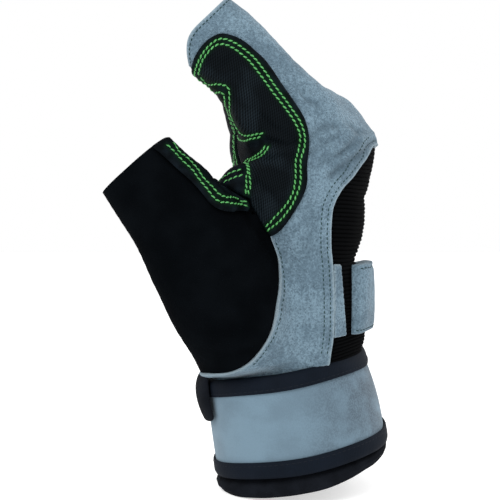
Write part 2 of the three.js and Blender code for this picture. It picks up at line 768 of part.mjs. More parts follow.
// Where the strap's layers lie outside the cuff.
const bindingInner = gap;
const strapInner = bindingInner + bindingWall + gap;
const bindingOuter = strapInner + strapWall + gap;
const strapOut = bindingOuter + bindingWall;
const lapLift = strapOut - bindingInner + gap; // the lapping end rides this much further out
const lapRise = { from: 292, to: 352 }; // degrees of the strap's run over which it rises
const strapSteps = 35;

// A section of points (out from the cuff, up the wrist) carried once round with the strap and over its start.
function aroundStrap(section) {
  const stations = [];
  for (let i = 0; i <= strapSteps; i++) {
    const turn = ((360 + strapOverlap) * i) / strapSteps;
    const lift = lapLift * THREE.MathUtils.smoothstep(turn, lapRise.from, lapRise.to);
    const angle = radians(strapStart + turn);
    stations.push(section.map(([out, height]) => wristPoint(height, angle, cuffRadius(height) + out + lift)));
  }
  return sweep(stations, section.map(([out, height]) => new THREE.Vector2(out, height)), false);
}

function strap() {
  const low = strapLift + bindingWall + gap;
  const high = strapTop - bindingWall - gap;
  return aroundStrap([
    [strapInner, low],
    [strapInner + strapWall, low],
    [strapInner + strapWall, high],
    [strapInner, high],
  ]);
}

// A tape folded over one of the strap's edges. side is 1 for an upper edge and -1 for a lower one.
function binding(edge, side) {
  const legs = edge - side * bindingWidth;
  const fold = edge - side * bindingWall;
  return aroundStrap([
    [bindingInner, legs],
    [bindingInner, edge],
    [strapOut, edge],
    [strapOut, legs],
    [bindingOuter, legs],
    [bindingOuter, fold],
    [bindingInner + bindingWall, fold],
    [bindingInner + bindingWall, legs],
  ]);
}

// The soft fold of black cloth that hangs over the strap at the palm.
const foldRows = [
  { up: 0, bulge: 0.4 },
  { up: 0.15, bulge: 0.8 },
  { up: 0.4, bulge: 1 },
  { up: 0.75, bulge: 0.95 },
  { up: 1, bulge: 0.5 },
];
const foldBulge = 3;
const foldDepth = 22; // how far it hangs down from the strap's upper edge
const foldTurns = { from: 150, to: 206 }; // degrees round from the back of the wrist
const foldSteps = 8;

function palmFold() {
  const inner = strapOut + gap;
  const stations = [];
  for (let i = 0; i <= foldSteps; i++) {
    const share = i / foldSteps;
    const swell = foldBulge * (0.4 + 0.6 * Math.sin(Math.PI * share));
    const angle = radians(mix(foldTurns.from, foldTurns.to, share));
    const at = (up, out) => {
      const height = strapTop - foldDepth * (1 - up);
      return wristPoint(height, angle, cuffRadius(height) + inner + out);
    };
    stations.push([at(1, 0), at(0, 0), ...foldRows.map((r) => at(r.up, r.bulge * swell))]);
  }
  const section = [[0, 1], [0, 0], ...foldRows.map((r) => [r.bulge, r.up])];
  return sweep(stations, section.map(([out, up]) => new THREE.Vector2(out, up)), false);
}

const pieces = [];

function piece(name, geometry, finish) {
  const mesh = new THREE.Mesh(geometry, finish);
  mesh.name = name;
  pieces.push(mesh);
}

// Finishes.
const cloth = (color, roughness) => new THREE.MeshStandardMaterial({ color, roughness, metalness: 0 });
const suede = cloth(0x7c97a6, 0.95);
const velour = cloth(0x0b0d10, 0.95);
const gripCloth = cloth(0x12161c, 0.6);
const ribKnit = cloth(0x070708, 0.9);
const bindingTape = cloth(0x101118, 0.7);
const cuffCloth = cloth(0x08080a, 0.85);

// The skin: palm and side in suede, the thumb in black cloth, the back in stretch knit.
piece("palm_suede", panel((p) => -Math.max(inBack(p), inThumb(p)) - seamGap), suede);
piece("thumb_stall", panel((p) => inThumb(p) - seamGap), velour);
piece("back_panel", panel((p) => inBack(p) - seamGap), ribKnit);
for (const finger of fingers) piece(`${finger.name}_stall`, stall(finger), suede);

// The padded pieces on the skin.
for (const finger of fingers) {
  const places = finger === fingers[0] ? indexPad : fingerPad;
  const shape = overlay(withFinger(finger.name), places, true, fingerColumn(finger), padWall);
  piece(`${finger.name}_pad`, shape, gripCloth);
}
function palmLimits(p) {
  const near = Math.max(lifeSide(p.z) + padWall, -palmNearEdge * palmWidth);
  return Math.min(p.y - near, palmEdge * palmWidth - p.y);
}
piece("palm_pad", overlay(mittenValue, palmPad, true, palmLimits, padWall), gripCloth);
const patchLimits = (p) => Math.min(-thumbPatchEdge * palmWidth - p.y, belowThumbRim(p) - gap);
piece("thumb_patch", overlay(mittenValue, thumbPatch, true, patchLimits, patchWall), gripCloth);
piece("back_band", overlay(mittenValue, bandPad, false, () => Infinity, bandWall), suede);
piece("band_strip", overlay(mittenValue, bandStrip, false, (p) => -p.y, patchWall, stripCell), suede);

// The wrist.
piece("wrist_cuff", cuff(), cuffCloth);
piece("wrist_strap", strap(), suede);
piece("strap_binding_top", binding(strapTop, 1), bindingTape);
piece("strap_binding_bottom", binding(strapLift, -1), bindingTape);
piece("palm_fold", palmFold(), velour);

export default new THREE.Group().add(...pieces);
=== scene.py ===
import math

import bpy
import numpy as np
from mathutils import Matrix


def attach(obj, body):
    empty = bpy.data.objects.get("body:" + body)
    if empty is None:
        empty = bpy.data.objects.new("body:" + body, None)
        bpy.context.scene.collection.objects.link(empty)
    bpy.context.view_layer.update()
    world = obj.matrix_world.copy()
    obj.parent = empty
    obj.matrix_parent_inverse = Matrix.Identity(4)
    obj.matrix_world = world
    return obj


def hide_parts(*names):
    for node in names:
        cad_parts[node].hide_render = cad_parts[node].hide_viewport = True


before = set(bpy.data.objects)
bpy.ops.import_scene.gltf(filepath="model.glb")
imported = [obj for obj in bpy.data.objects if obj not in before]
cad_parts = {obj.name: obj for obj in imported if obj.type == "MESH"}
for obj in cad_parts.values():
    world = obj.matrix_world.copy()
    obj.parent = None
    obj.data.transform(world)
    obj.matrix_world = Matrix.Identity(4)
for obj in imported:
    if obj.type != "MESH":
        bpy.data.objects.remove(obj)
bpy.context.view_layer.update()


# The camera stands near the thumb's side of the glove, level, at the height of its palm, as for a small
# object on a table: the near side of the strap and of the finger's rim look larger than the far one.
camera_data = bpy.data.cameras.new("camera")
camera_data.lens = 70.2
camera_data.sensor_width = 36
camera = bpy.data.objects.new("camera", camera_data)
camera.location = (-0.0236, -0.430, 0.0947)
camera.rotation_euler = (math.pi / 2, 0, 0)
bpy.context.scene.collection.objects.link(camera)
bpy.context.scene.camera = camera


# The studio is a pale floor under soft light: a broad lamp in front to the upper left, a weaker one from the
# right behind, and an even white surround. The floor lies just under the cuff's rim.
floor_height = -0.0085
floor_mesh = bpy.data.meshes.new("floor")
floor_half = 30.0
floor_mesh.from_pydata(
    [(x * floor_half, y * floor_half, floor_height) for x, y in ((-1, -1), (1, -1), (1, 1), (-1, 1))],
    [],
    [(0, 1, 2, 3)],
)
floor = bpy.data.objects.new("floor", floor_mesh)
bpy.context.scene.collection.objects.link(floor)
floor_finish = bpy.data.materials.new("floor")
floor_finish.use_nodes = True
floor_looks = {
    "Base Color": (0.7, 0.7, 0.7, 1),
    "Emission Color": (1, 1, 1, 1),
    "Emission Strength": 0.55,
    "Roughness": 0.9,
}
for socket_name, look in floor_looks.items():
    floor_finish.node_tree.nodes["Principled BSDF"].inputs[socket_name].default_value = look
floor_mesh.materials.append(floor_finish)

bpy.context.scene.view_settings.view_transform = "Standard"
surround = bpy.data.worlds.new("surround")
surround.use_nodes = True
surround.node_tree.nodes["Background"].inputs["Color"].default_value = (1, 1, 1, 1)
surround.node_tree.nodes["Background"].inputs["Strength"].default_value = 1.0
bpy.context.scene.world = surround


def soft_lamp(name, place, target, size, power):
    lamp = bpy.data.lights.new(name, "AREA")
    lamp.size = size
    lamp.energy = power
    holder = bpy.data.objects.new(name, lamp)
    holder.location = place
    direction = np.array(target) - np.array(place)
    flat = math.hypot(direction[0], direction[1])
    holder.rotation_euler = (math.atan2(flat, -direction[2]), 0, math.atan2(-direction[0], direction[1]))
    bpy.context.scene.collection.objects.link(holder)


soft_lamp("front_lamp", (-0.35, -0.7, 0.75), (0, 0, 0.1), 0.5, 5)
soft_lamp("back_lamp", (0.7, 0.3, 0.5), (0, 0, 0.1), 0.5, 3)


# The suede shell is the glove's main piece: split leather with its nap outside, sewn into a palm, a broad
# strip along the thumb's side and four open finger stalls. It is a wall of even thickness whose outside is
# one smooth hand-shaped surface, drawn through sections of the hand, the thumb, the web and the stalls.
palm_length = 94
palm_depth = 48
palm_width = 92
finger_length = 46
finger_depth = 36
finger_pitch = palm_width / 4
finger_width = 0.89 * finger_pitch
finger_lean = math.radians(43)
thumb_reach = 61
thumb_width = 32.4
thumb_depth = 23
wrist_radius = 30.7
wrist_tilt = math.radians(11.5)
cuff_height = 46
strap_lift = 4.6
strap_height = 41.5
strap_top = strap_lift + strap_height
skin_wall = 1.6

wrist_axis = np.array([-math.sin(wrist_tilt), 0, math.cos(wrist_tilt)])
wrist_fore = np.array([math.cos(wrist_tilt), 0, math.sin(wrist_tilt)])
sideways = np.array([0.0, 1, 0])
wrist_seam = cuff_height * wrist_axis


def hand_point(fore, side, up):
    return np.array([wrist_seam[0] + fore * palm_depth, side * palm_width, wrist_seam[2] + up * palm_length])


finger_root = hand_point(-0.096, 0, 1.139)
finger_axis = np.array([-math.sin(finger_lean), 0, math.cos(finger_lean)])
finger_back = np.array([math.cos(finger_lean), 0, math.sin(finger_lean)])


def finger_point(along, across):
    return finger_root + along * finger_length * finger_axis + across * finger_depth * finger_back


def smooth_line(places, steps, closed=False):
    places = np.array(places, float)
    count = len(places)
    made = []
    for i in range(count if closed else count - 1):
        a, b = places[i], places[(i + 1) % count]
        before = places[i - 1] if closed or i else 2 * a - b
        after = places[(i + 2) % count] if closed or i + 2 < count else 2 * b - a
        spans = ((before, a), (a, b), (b, after))
        near, here, far = (max(np.linalg.norm(q - p), 1e-8) ** 0.5 for p, q in spans)
        here = here if here > 1e-4 else 1.0
        near, far = (gap if gap > 1e-4 else here for gap in (near, far))
        leave = here * ((a - before) / near - (b - before) / (near + here) + (b - a) / here)
        arrive = here * ((b - a) / here - (after - a) / (here + far) + (after - b) / far)
        for n in range(steps):
            t = n / steps
            bend = (3 * (b - a) - 2 * leave - arrive) * t**2 + (2 * (a - b) + leave + arrive) * t**3
            made.append(a + leave * t + bend)
    if not closed:
        made.append(places[-1])
    return np.array(made)


def limb(rows):
    rows = np.array(rows, float)
    return np.hstack([smooth_line(rows[:, :3], 4), smooth_line(rows[:, 3:], 4)])


# Hand sections: fore and up place a section's middle, depth and width are its half sizes.
hand_rows = [
    dict(fore=0.127, up=0.134, depth=0.604, width=0.37, square=2.2),
    dict(fore=0.19, up=0.294, depth=0.511, width=0.413, square=2.4),
    dict(fore=0.21, up=0.496, depth=0.425, width=0.457, square=2.6),
    dict(fore=0.24, up=0.677, depth=0.465, width=0.484, square=2.7),
    dict(fore=0.185, up=0.836, depth=0.53, width=0.5, square=2.7),
    dict(fore=0.185, up=0.955, depth=0.58, width=0.5, square=2.5),
    dict(fore=0.045, up=1.05, depth=0.42, width=0.498, square=2.4),
    dict(fore=-0.075, up=1.15, depth=0.36, width=0.496, square=2.5),
    dict(fore=-0.24, up=1.28, depth=0.24, width=0.49, square=2.5),
]
wrist_start = 0.6 * cuff_height * wrist_axis
hand_limb = limb(
    [
        (*wrist_start, wrist_radius, wrist_radius, 2),
        (*wrist_seam, wrist_radius, wrist_radius, 2),
        *(
            (
                *hand_point(r["fore"], 0, r["up"]),
                r["depth"] * palm_depth,
                r["width"] * palm_width,
                r["square"],
            )
            for r in hand_rows
        ),
    ]
)
thumb_rows = [
    dict(reach=0.15, side=-0.152, up=-0.03, broad=0.62, thin=0.56),
    dict(reach=0.22, side=-0.228, up=0.05, broad=0.68, thin=0.63),
    dict(reach=0.31, side=-0.315, up=0.177, broad=0.69, thin=0.72),
    dict(reach=0.41, side=-0.397, up=0.336, broad=0.74, thin=0.76),
    dict(reach=0.533, side=-0.457, up=0.496, broad=0.71, thin=0.74),
    dict(reach=0.695, side=-0.489, up=0.655, broad=0.617, thin=0.63),
    dict(reach=0.862, side=-0.505, up=0.78, broad=0.54, thin=0.543),
    dict(reach=0.993, side=-0.511, up=0.885, broad=0.5, thin=0.5),
    dict(reach=1.138, side=-0.514, up=0.992, broad=0.481, thin=0.491),
]
web_rows = [
    dict(reach=-0.04, side=-0.27, up=0.62, broad=0.5, thin=0.6),
    dict(reach=0.1, side=-0.36, up=0.7, broad=0.4, thin=0.44),
    dict(reach=0.3, side=-0.38, up=0.78, broad=0.26, thin=0.3),
]


def thumb_side_limb(rows):
    return limb(
        [
            (
                wrist_seam[0] - r["reach"] * thumb_reach,
                r["side"] * palm_width,
                wrist_seam[2] + r["up"] * palm_length,
                r["broad"] * thumb_width,
                r["thin"] * thumb_depth,
                2.3,
            )
            for r in rows
        ]
    )


thumb_limb = thumb_side_limb(thumb_rows)
web_limb = thumb_side_limb(web_rows)

# Finger sections, as shares of the finger's sizes. The fingers behind the first are drawn back and slimmer.
stall_rows = [
    dict(along=-0.25, across=0.06, depth=0.5, width=0.52),
    dict(along=0, across=0.05, depth=0.48, width=0.52),
    dict(along=0.14, across=0.075, depth=0.44, width=0.51),
    dict(along=0.5, across=0.1, depth=0.415, width=0.495),
    dict(along=0.75, across=0.07, depth=0.425, width=0.49),
    dict(along=1, across=0.02, depth=0.42, width=0.485),
    dict(along=1.25, across=-0.025, depth=0.42, width=0.485),
]
fingers = {
    "index": dict(place=-1.5, length=0.985, width=1, back=0, slim=1),
    "middle": dict(place=-0.5, length=0.98, width=1, back=0.1, slim=0.94),
    "ring": dict(place=0.5, length=0.95, width=0.98, back=0.14, slim=0.9),
    "little": dict(place=1.5, length=0.84, width=0.9, back=0.17, slim=0.82),
}


def stall_section(finger, along):
    places = [r["along"] for r in stall_rows]
    across, depth, width = (
        np.interp(along, places, [r[column] for r in stall_rows]) for column in ("across", "depth", "width")
    )
    drawn = np.clip(along + 0.25, 0, 1)
    return across + finger["back"] * drawn, depth * (1 - (1 - finger["slim"]) * drawn), width


def stall_limb(finger):
    rows = []
    for r in stall_rows:
        across, depth, width = stall_section(finger, r["along"])
        x, _, z = finger_point(r["along"] * finger["length"], across)
        half = width * finger_width * finger["width"]
        rows.append((x, finger["place"] * finger_pitch, z, depth * finger_depth, half, 2.9))
    return limb(rows)


stall_limbs = {name: stall_limb(finger) for name, finger in fingers.items()}


# How far a point is from a limb's surface, less than zero inside it. Far points all get one same value.
far_value = 12.0


def limb_value(stations, points):
    far = np.full(len(points), far_value)
    reach = 1.2 * stations[:, 3:5].max() + far_value
    middles = stations[:, :3]
    boxed = (points > middles.min(0) - reach).all(1) & (points < middles.max(0) + reach).all(1)
    if not boxed.any():
        return far
    points = points[boxed]
    best = np.full(len(points), far_value)
    for start, end in zip(stations[:-1], stations[1:]):
        along = end[:3] - start[:3]
        length = np.linalg.norm(along)
        along = along / length
        bound = length / 2 + 1.3 * max(start[3:5].max(), end[3:5].max())
        gaps = points - (start[:3] + end[:3]) / 2
        near = np.einsum("ij,ij->i", gaps, gaps) < (best + bound) ** 2
        if not near.any():
            continue
        offset = points[near] - start[:3]
        share = np.clip(offset @ along / length, 0, 1)
        offset -= share[:, None] * length * along
        thin_axis = sideways - along * along[1]
        thin_axis = thin_axis / np.linalg.norm(thin_axis)
        broad_axis = np.cross(thin_axis, along)
        broad, thin, square = (start[n] + share * (end[n] - start[n]) for n in (3, 4, 5))
        size = np.abs(offset @ broad_axis / broad) ** square
        size += np.abs(offset @ thin_axis / thin) ** square
        size += np.abs(offset @ along / np.minimum(broad, thin)) ** square
        size = np.maximum(size ** (1 / square), 1e-6)
        best[near] = np.minimum(best[near], np.linalg.norm(offset, axis=1) * (1 - 1 / size))
    far[boxed] = best
    return far


def join_softly(a, b, softness):
    reach = np.maximum(softness - np.abs(a - b), 0) / softness
    return np.minimum(a, b) - reach * reach * softness / 4


def ramp(value, start, end):
    share = np.clip((value - start) / (end - start), 0, 1)
    return share * share * (3 - 2 * share)


def seam_height(points):
    return (points - wrist_seam) @ wrist_axis


web_softness = 9
thumb_softness = 6
stall_softness = 5


def mitten_value(points):
    hand = limb_value(hand_limb, points)
    webbed = join_softly(hand, limb_value(web_limb, points), web_softness)
    whole = join_softly(webbed, limb_value(thumb_limb, points), thumb_softness)
    swell = ramp(seam_height(points), 0.3, 5)
    return hand + (whole - hand) * swell


def glove_value(points):
    stalls = np.full(len(points), far_value)
    for name in fingers:
        stalls = np.minimum(stalls, limb_value(stall_limbs[name], points))
    return join_softly(mitten_value(points), stalls, stall_softness)


def slope_of(value, points, base=None):
    base = value(points) if base is None else base
    step = 0.05
    return np.stack([(value(points + step * axis) - base) / step for axis in np.eye(3)], axis=1)


def settle(value, points, times=2):
    for _ in range(times):
        base = value(points)
        slope = slope_of(value, points, base)
        points = points - slope * (base / np.maximum((slope**2).sum(1), 0.05))[:, None]
    return points


def normals_of(value, points):
    slope = slope_of(value, points)
    return slope / np.linalg.norm(slope, axis=1)[:, None]


# The surface where a value is zero, inside a box, as even four-sided faces about one cell wide. The value is
# first taken on a grid four times as coarse, and the fine grid is only filled in near the surface.
def surface_of(value, low, high, cell):
    low, high = np.array(low, float), np.array(high, float)
    coarse = 4 * cell
    counts = np.ceil((high - low) / coarse).astype(int) + 1
    axes = [low[a] + coarse * np.arange(counts[a]) for a in range(3)]
    rough = value(np.stack(np.meshgrid(*axes, indexing="ij"), -1).reshape(-1, 3)).reshape(counts)
    picks = [(np.arange(4 * (n - 1) + 1) + 2) // 4 for n in counts]
    fine = rough[np.ix_(*picks)].copy()
    near = np.argwhere(np.abs(fine) < 1.05 * coarse)
    fine[tuple(near.T)] = value(low + near * cell)
    inside = fine < 0
    shape = [n - 1 for n in fine.shape]
    total = np.zeros((*shape, 3))
    uses = np.zeros(shape)
    crossings = []
    for axis in range(3):
        ahead = [slice(None)] * 3
        behind = [slice(None)] * 3
        ahead[axis] = slice(1, None)
        behind[axis] = slice(None, -1)
        start, end = fine[tuple(behind)], fine[tuple(ahead)]
        found = np.argwhere(inside[tuple(behind)] != inside[tuple(ahead)])
        at = tuple(found.T)
        place = found.astype(float)
        place[:, axis] += start[at] / (start[at] - end[at])
        others = [a for a in range(3) if a != axis]
        for first in (0, 1):
            for second in (0, 1):
                cells = found.copy()
                cells[:, others[0]] -= first
                cells[:, others[1]] -= second
                fits = (cells >= 0).all(1) & (cells < shape).all(1)
                spot = tuple(cells[fits].T)
                np.add.at(total, spot, place[fits])
                np.add.at(uses, spot, 1)
        crossings.append((found, inside[tuple(behind)][at]))
    filled = uses > 0
    numbers = np.full(shape, -1)
    numbers[filled] = np.arange(filled.sum())
    points = low + total[filled] / uses[filled][:, None] * cell
    quads = []
    for axis, (found, starts_inside) in enumerate(crossings):
        first, second = [(1, 2), (2, 0), (0, 1)][axis]
        keep = (found[:, first] > 0) & (found[:, second] > 0)
        keep &= (found[:, first] < shape[first]) & (found[:, second] < shape[second])
        found, starts_inside = found[keep], starts_inside[keep]
        ring = []
        for a, b in ((1, 1), (0, 1), (0, 0), (1, 0)):
            cells = found.copy()
            cells[:, first] -= a
            cells[:, second] -= b
            ring.append(numbers[tuple(cells.T)])
        ring = np.stack(ring, 1)
        ring[~starts_inside] = ring[~starts_inside][:, ::-1]
        quads.append(ring)
    quads = np.concatenate(quads)
    quads = quads[(quads >= 0).all(1)]
    points = settle(value, points, 1)
    pairs = np.concatenate([quads[:, [n, (n + 1) % 4]] for n in range(4)])
    middle = np.zeros_like(points)
    count = np.zeros(len(points))
    np.add.at(middle, pairs[:, 0], points[pairs[:, 1]])
    np.add.at(count, pairs[:, 0], 1)
    inner = count > 2
    points[inner] = 0.4 * points[inner] + 0.6 * middle[inner] / count[inner][:, None]
    return settle(value, points, 2), quads


# Cuts a surface along the line where a region's value is zero and keeps its positive side.
def cut_to(region, points, quads, value, cell):
    faces = np.concatenate([quads[:, [0, 1, 2]], quads[:, [0, 2, 3]]]) if quads.shape[1] == 4 else quads
    sides = region(points)
    close = np.argwhere(np.abs(sides) < 0.3 * cell)[:, 0]
    spots = points[close]
    slope = slope_of(region, spots, sides[close])
    normals = normals_of(value, spots)
    slope -= normals * (slope * normals).sum(1)[:, None]
    strength = (slope**2).sum(1)
    moved = spots - slope * (sides[close] / np.maximum(strength, 0.05))[:, None]
    fits = (strength > 0.05) & (np.linalg.norm(moved - spots, axis=1) < 0.5 * cell)
    points = points.copy()
    points[close[fits]] = settle(value, moved[fits], 1)
    sides[close[fits]] = 0
    kept = faces[(sides[faces] >= 0).all(1) & (sides[faces] > 0).any(1)]
    crossed = faces[(sides[faces] > 0).any(1) & (sides[faces] < 0).any(1)]
    new_points, numbers, made = [], {}, []
    for face in crossed:
        ring = []
        for n in range(3):
            a, b = int(face[n]), int(face[(n + 1) % 3])
            if sides[a] >= 0:
                ring.append(a)
            if sides[a] * sides[b] < 0:
                key = (min(a, b), max(a, b))
                if key not in numbers:
                    numbers[key] = len(points) + len(new_points)
                    share = sides[a] / (sides[a] - sides[b])
                    new_points.append(points[a] + share * (points[b] - points[a]))
                ring.append(numbers[key])
        for n in range(1, len(ring) - 1):
            made.append((ring[0], ring[n], ring[n + 1]))
    if new_points:
        points = np.concatenate([points, settle(value, np.array(new_points), 1)])
        kept = np.concatenate([kept, np.array(made)])
    used, faces = np.unique(kept, return_inverse=True)
    return points[used], faces.reshape(-1, 3)


def open_edges(faces):
    pairs = np.concatenate([faces[:, [n, (n + 1) % faces.shape[1]]] for n in range(faces.shape[1])])
    keys = {(int(a), int(b)) for a, b in pairs}
    return np.array([(a, b) for a, b in keys if (b, a) not in keys])


def wall_from(points, faces, normals, outer, inner):
    count = len(points)
    edges = open_edges(faces)
    rims = np.stack([edges[:, 1], edges[:, 0], edges[:, 0] + count, edges[:, 1] + count], 1)
    places = np.concatenate([points + normals * outer, points + normals * inner])
    return places, [*faces.tolist(), *(faces[:, ::-1] + count).tolist(), *rims.tolist()]


def show(name, places, faces, finish, nodes=(), smooth_below=40, attributes=None):
    mesh = bpy.data.meshes.new(name)
    mesh.from_pydata((np.asarray(places) / 1000).tolist(), [], faces)
    mesh.update()
    mesh.materials.append(finish)
    mesh.polygons.foreach_set("use_smooth", [True] * len(mesh.polygons))
    mesh.set_sharp_from_angle(angle=math.radians(smooth_below))
    for label, values in (attributes or {}).items():
        layer = mesh.attributes.new(label, "FLOAT", "POINT")
        layer.data.foreach_set("value", np.asarray(values, dtype=np.float32))
    piece = bpy.data.objects.new(name, mesh)
    bpy.context.scene.collection.objects.link(piece)
    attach(piece, "root")
    if nodes:
        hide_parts(*nodes)
    return piece


# Places in the side view, from the thumb's side: shares of the hand's or of the finger's sizes.
def side_places(*tables):
    found = []
    for table in tables:
        place = finger_point if "along" in table else lambda fore, up: hand_point(fore, 0, up)
        found += [place(first, second)[[0, 2]] for first, second in zip(*table.values())]
    return np.array(found)


def line_gap(points, line, closed=False):
    x, z = points[:, 0], points[:, 2]
    nearest = np.full(len(points), np.inf)
    ends = np.roll(line, -1, axis=0)
    for a, b in list(zip(line, ends))[: None if closed else -1]:
        edge = b - a
        share = np.clip(((x - a[0]) * edge[0] + (z - a[1]) * edge[1]) / max(edge @ edge, 1e-9), 0, 1)
        nearest = np.minimum(nearest, np.hypot(x - a[0] - share * edge[0], z - a[1] - share * edge[1]))
    return nearest


def outline_value(outline, points):
    x, z = points[:, 0], points[:, 2]
    inside = np.zeros(len(points), bool)
    for a, b in zip(outline, np.roll(outline, -1, axis=0)):
        if a[1] != b[1]:
            inside ^= ((a[1] > z) != (b[1] > z)) & (x < a[0] + (z - a[1]) / (b[1] - a[1]) * (b[0] - a[0]))
    gap = line_gap(points, outline, True)
    return np.where(inside, gap, -gap)


back_seam = dict(
    fore=[0.34, 0.38, 0.4, 0.4, 0.385, 0.37, 0.37, 0.385, 0.445, 0.555, 0.66, 0.72, 0.84],
    up=[-0.2, 0.06, 0.16, 0.31, 0.46, 0.54, 0.64, 0.71, 0.775, 0.845, 0.92, 0.98, 1.0],
)
thumb_seam = dict(
    fore=[-0.9, -0.7, -0.507, -0.39, -0.292, -0.185, -0.12, -0.079]
    + [-0.056, -0.071, -0.137, -0.15, -0.2, -0.35, -0.6, -1],
    up=[-0.03, -0.01, 0, 0.022, 0.057, 0.128, 0.195, 0.295]
    + [0.395, 0.495, 0.594, 0.65, 0.74, 0.86, 1, 1.3],
)
back_line = smooth_line(side_places(back_seam), 4)
thumb_line = smooth_line(side_places(thumb_seam), 4)
back_outline = np.concatenate([back_line, side_places(dict(fore=[1.6, 1.6], up=[1.1, -0.2]))])
thumb_outline = np.concatenate([thumb_line, side_places(dict(fore=[-2.4, -2.4], up=[1.3, -0.03]))])
life_line = [
    dict(up=-0.1, side=0.12),
    dict(up=0.06, side=0.08),
    dict(up=0.25, side=-0.08),
    dict(up=0.45, side=-0.13),
    dict(up=0.65, side=-0.24),
    dict(up=0.8, side=-0.36),
    dict(up=1.1, side=-0.4),
]


def life_side(points):
    up = (points[:, 2] - wrist_seam[2]) / palm_length
    return palm_width * np.interp(up, [r["up"] for r in life_line], [r["side"] for r in life_line])


def in_back(points):
    return outline_value(back_outline, points)


def in_thumb(points):
    return np.minimum(outline_value(thumb_outline, points), 0.9 * (life_side(points) - points[:, 1]))


thumb_rim = thumb_limb[28, :3] * 0.75 + thumb_limb[27, :3] * 0.25
thumb_axis = thumb_limb[32, :3] - thumb_rim
thumb_axis = thumb_axis / np.linalg.norm(thumb_axis)


def below_thumb_rim(points):
    return (thumb_rim - points) @ thumb_axis


# Each finger's rim is cut back a little at its sides and more on the side of the palm.
side_cut = 0.03
palm_cut = 0.2


def rim_end(finger, depth, towards_palm, off):
    front = np.clip(towards_palm / (depth * finger_depth), 0, 1)
    flank = np.clip(np.abs(off) / (0.49 * finger_width * finger["width"]), 0, 1)
    return finger["length"] * finger_length * (1 - side_cut * flank**2 - palm_cut * front**3)


def below_finger_rims(points):
    along = (points - finger_root) @ finger_axis
    across = (points - finger_root) @ finger_back
    limits = np.full(len(points), 100.0)
    for finger in fingers.values():
        middle, depth, _ = stall_section(finger, along / (finger["length"] * finger_length))
        off = points[:, 1] - finger["place"] * finger_pitch
        end = rim_end(finger, depth, middle * finger_depth - across, off)
        mine = np.abs(off) <= finger_pitch / 2
        limits = np.where(mine, end - along, limits)
    return limits


def on_thumb(points):
    return limb_value(thumb_limb, points) < limb_value(hand_limb, points)


foot_height = strap_top - cuff_height - 1.2


def inside_ends(points):
    ends = np.where(on_thumb(points), below_thumb_rim(points), below_finger_rims(points))
    return np.minimum(seam_height(points) - foot_height, ends)


glove_low = (-92, -64, 36)
glove_high = (42, 54, 206)
glove_cell = 1.3
skin_points, skin_quads = surface_of(glove_value, glove_low, glove_high, glove_cell)


# Shader maths as plain expressions: a wrapped socket of one material's node tree.
class Sock:
    def __init__(self, tree, socket):
        self.tree = tree
        self.socket = socket

    def node(self, kind, settings=None, out=0, **values):
        made = self.tree.nodes.new(kind)
        for key, setting in (settings or {}).items():
            if key == "stops":
                ramp_stops = made.color_ramp.elements
                while len(ramp_stops) < len(setting):
                    ramp_stops.new(0.5)
                for stop, (place, colour) in zip(ramp_stops, setting):
                    stop.position = place
                    stop.color = (*colour, 1)
            else:
                setattr(made, key, setting)
        for key, value in values.items():
            slot = made.inputs[int(key[1:])] if key[0] == "i" and key[1:].isdigit() else made.inputs[key]
            if isinstance(value, Sock):
                self.tree.links.new(value.socket, slot)
            elif isinstance(value, tuple) and len(value) == 3 and slot.type == "RGBA":
                slot.default_value = (*value, 1)
            else:
                slot.default_value = value
        return Sock(self.tree, made.outputs[out])

    def maths(self, operation, *values):
        numbered = {f"i{n}": value for n, value in enumerate(values)}
        return self.node("ShaderNodeMath", {"operation": operation}, **numbered)

    def __add__(self, other):
        return self.maths("ADD", self, other)

    def __sub__(self, other):
        return self.maths("SUBTRACT", self, other)

    def __mul__(self, other):
        return self.maths("MULTIPLY", self, other)

    def __radd__(self, other):
        return self.maths("ADD", other, self)

    def __rsub__(self, other):
        return self.maths("SUBTRACT", other, self)

    def __rmul__(self, other):
        return self.maths("MULTIPLY", other, self)

    def clip(self):
        return self.node("ShaderNodeClamp", Value=self)

    def step(self, start, end):
        values = {"From Min": start, "From Max": end}
        return self.node("ShaderNodeMapRange", {"interpolation_type": "SMOOTHSTEP"}, Value=self, **values)

    def sine(self):
        return self.maths("SINE", self)

    def mix(self, first, second):
        return self.node("ShaderNodeMix", {"data_type": "RGBA"}, out=2, i0=self, i6=first, i7=second)

    def noise(self, scale, detail=2.0, stretch=(1, 1, 1)):
        moved = self.node("ShaderNodeVectorMath", {"operation": "MULTIPLY"}, i0=self, i1=stretch)
        return self.node("ShaderNodeTexNoise", Vector=moved, Scale=scale, Detail=detail)

    def cells(self, scale):
        return self.node("ShaderNodeTexVoronoi", Vector=self, Scale=scale)

    def attribute(self, name):
        return self.node("ShaderNodeAttribute", {"attribute_name": name}, out=2)

    def part(self, letter):
        return self.node("ShaderNodeSeparateXYZ", out="XYZ".index(letter), Vector=self)

    def bump(self, strength, depth):
        return self.node("ShaderNodeBump", Height=self, Strength=strength, Distance=depth)


# Starts a material: returns its Principled shader and the place on the object, in millimetres.
def new_finish(name, **constants):
    finish = bpy.data.materials.new(name)
    finish.use_nodes = True
    shader = finish.node_tree.nodes["Principled BSDF"]
    for key, value in constants.items():
        shader.inputs[key.replace("_", " ")].default_value = value
    place = Sock(finish.node_tree, finish.node_tree.nodes.new("ShaderNodeTexCoord").outputs["Object"])
    place = place.node("ShaderNodeVectorMath", {"operation": "SCALE"}, Vector=place, Scale=1000)
    return finish, shader, place


def feed(shader, **sockets):
    for key, value in sockets.items():
        value.tree.links.new(value.socket, shader.inputs[key.replace("_", " ")])


suede_pale = (0.158, 0.237, 0.296)
suede_mid = (0.096, 0.149, 0.192)
suede_dark = (0.042, 0.068, 0.09)
suede_cut_edge = (0.22, 0.29, 0.335)


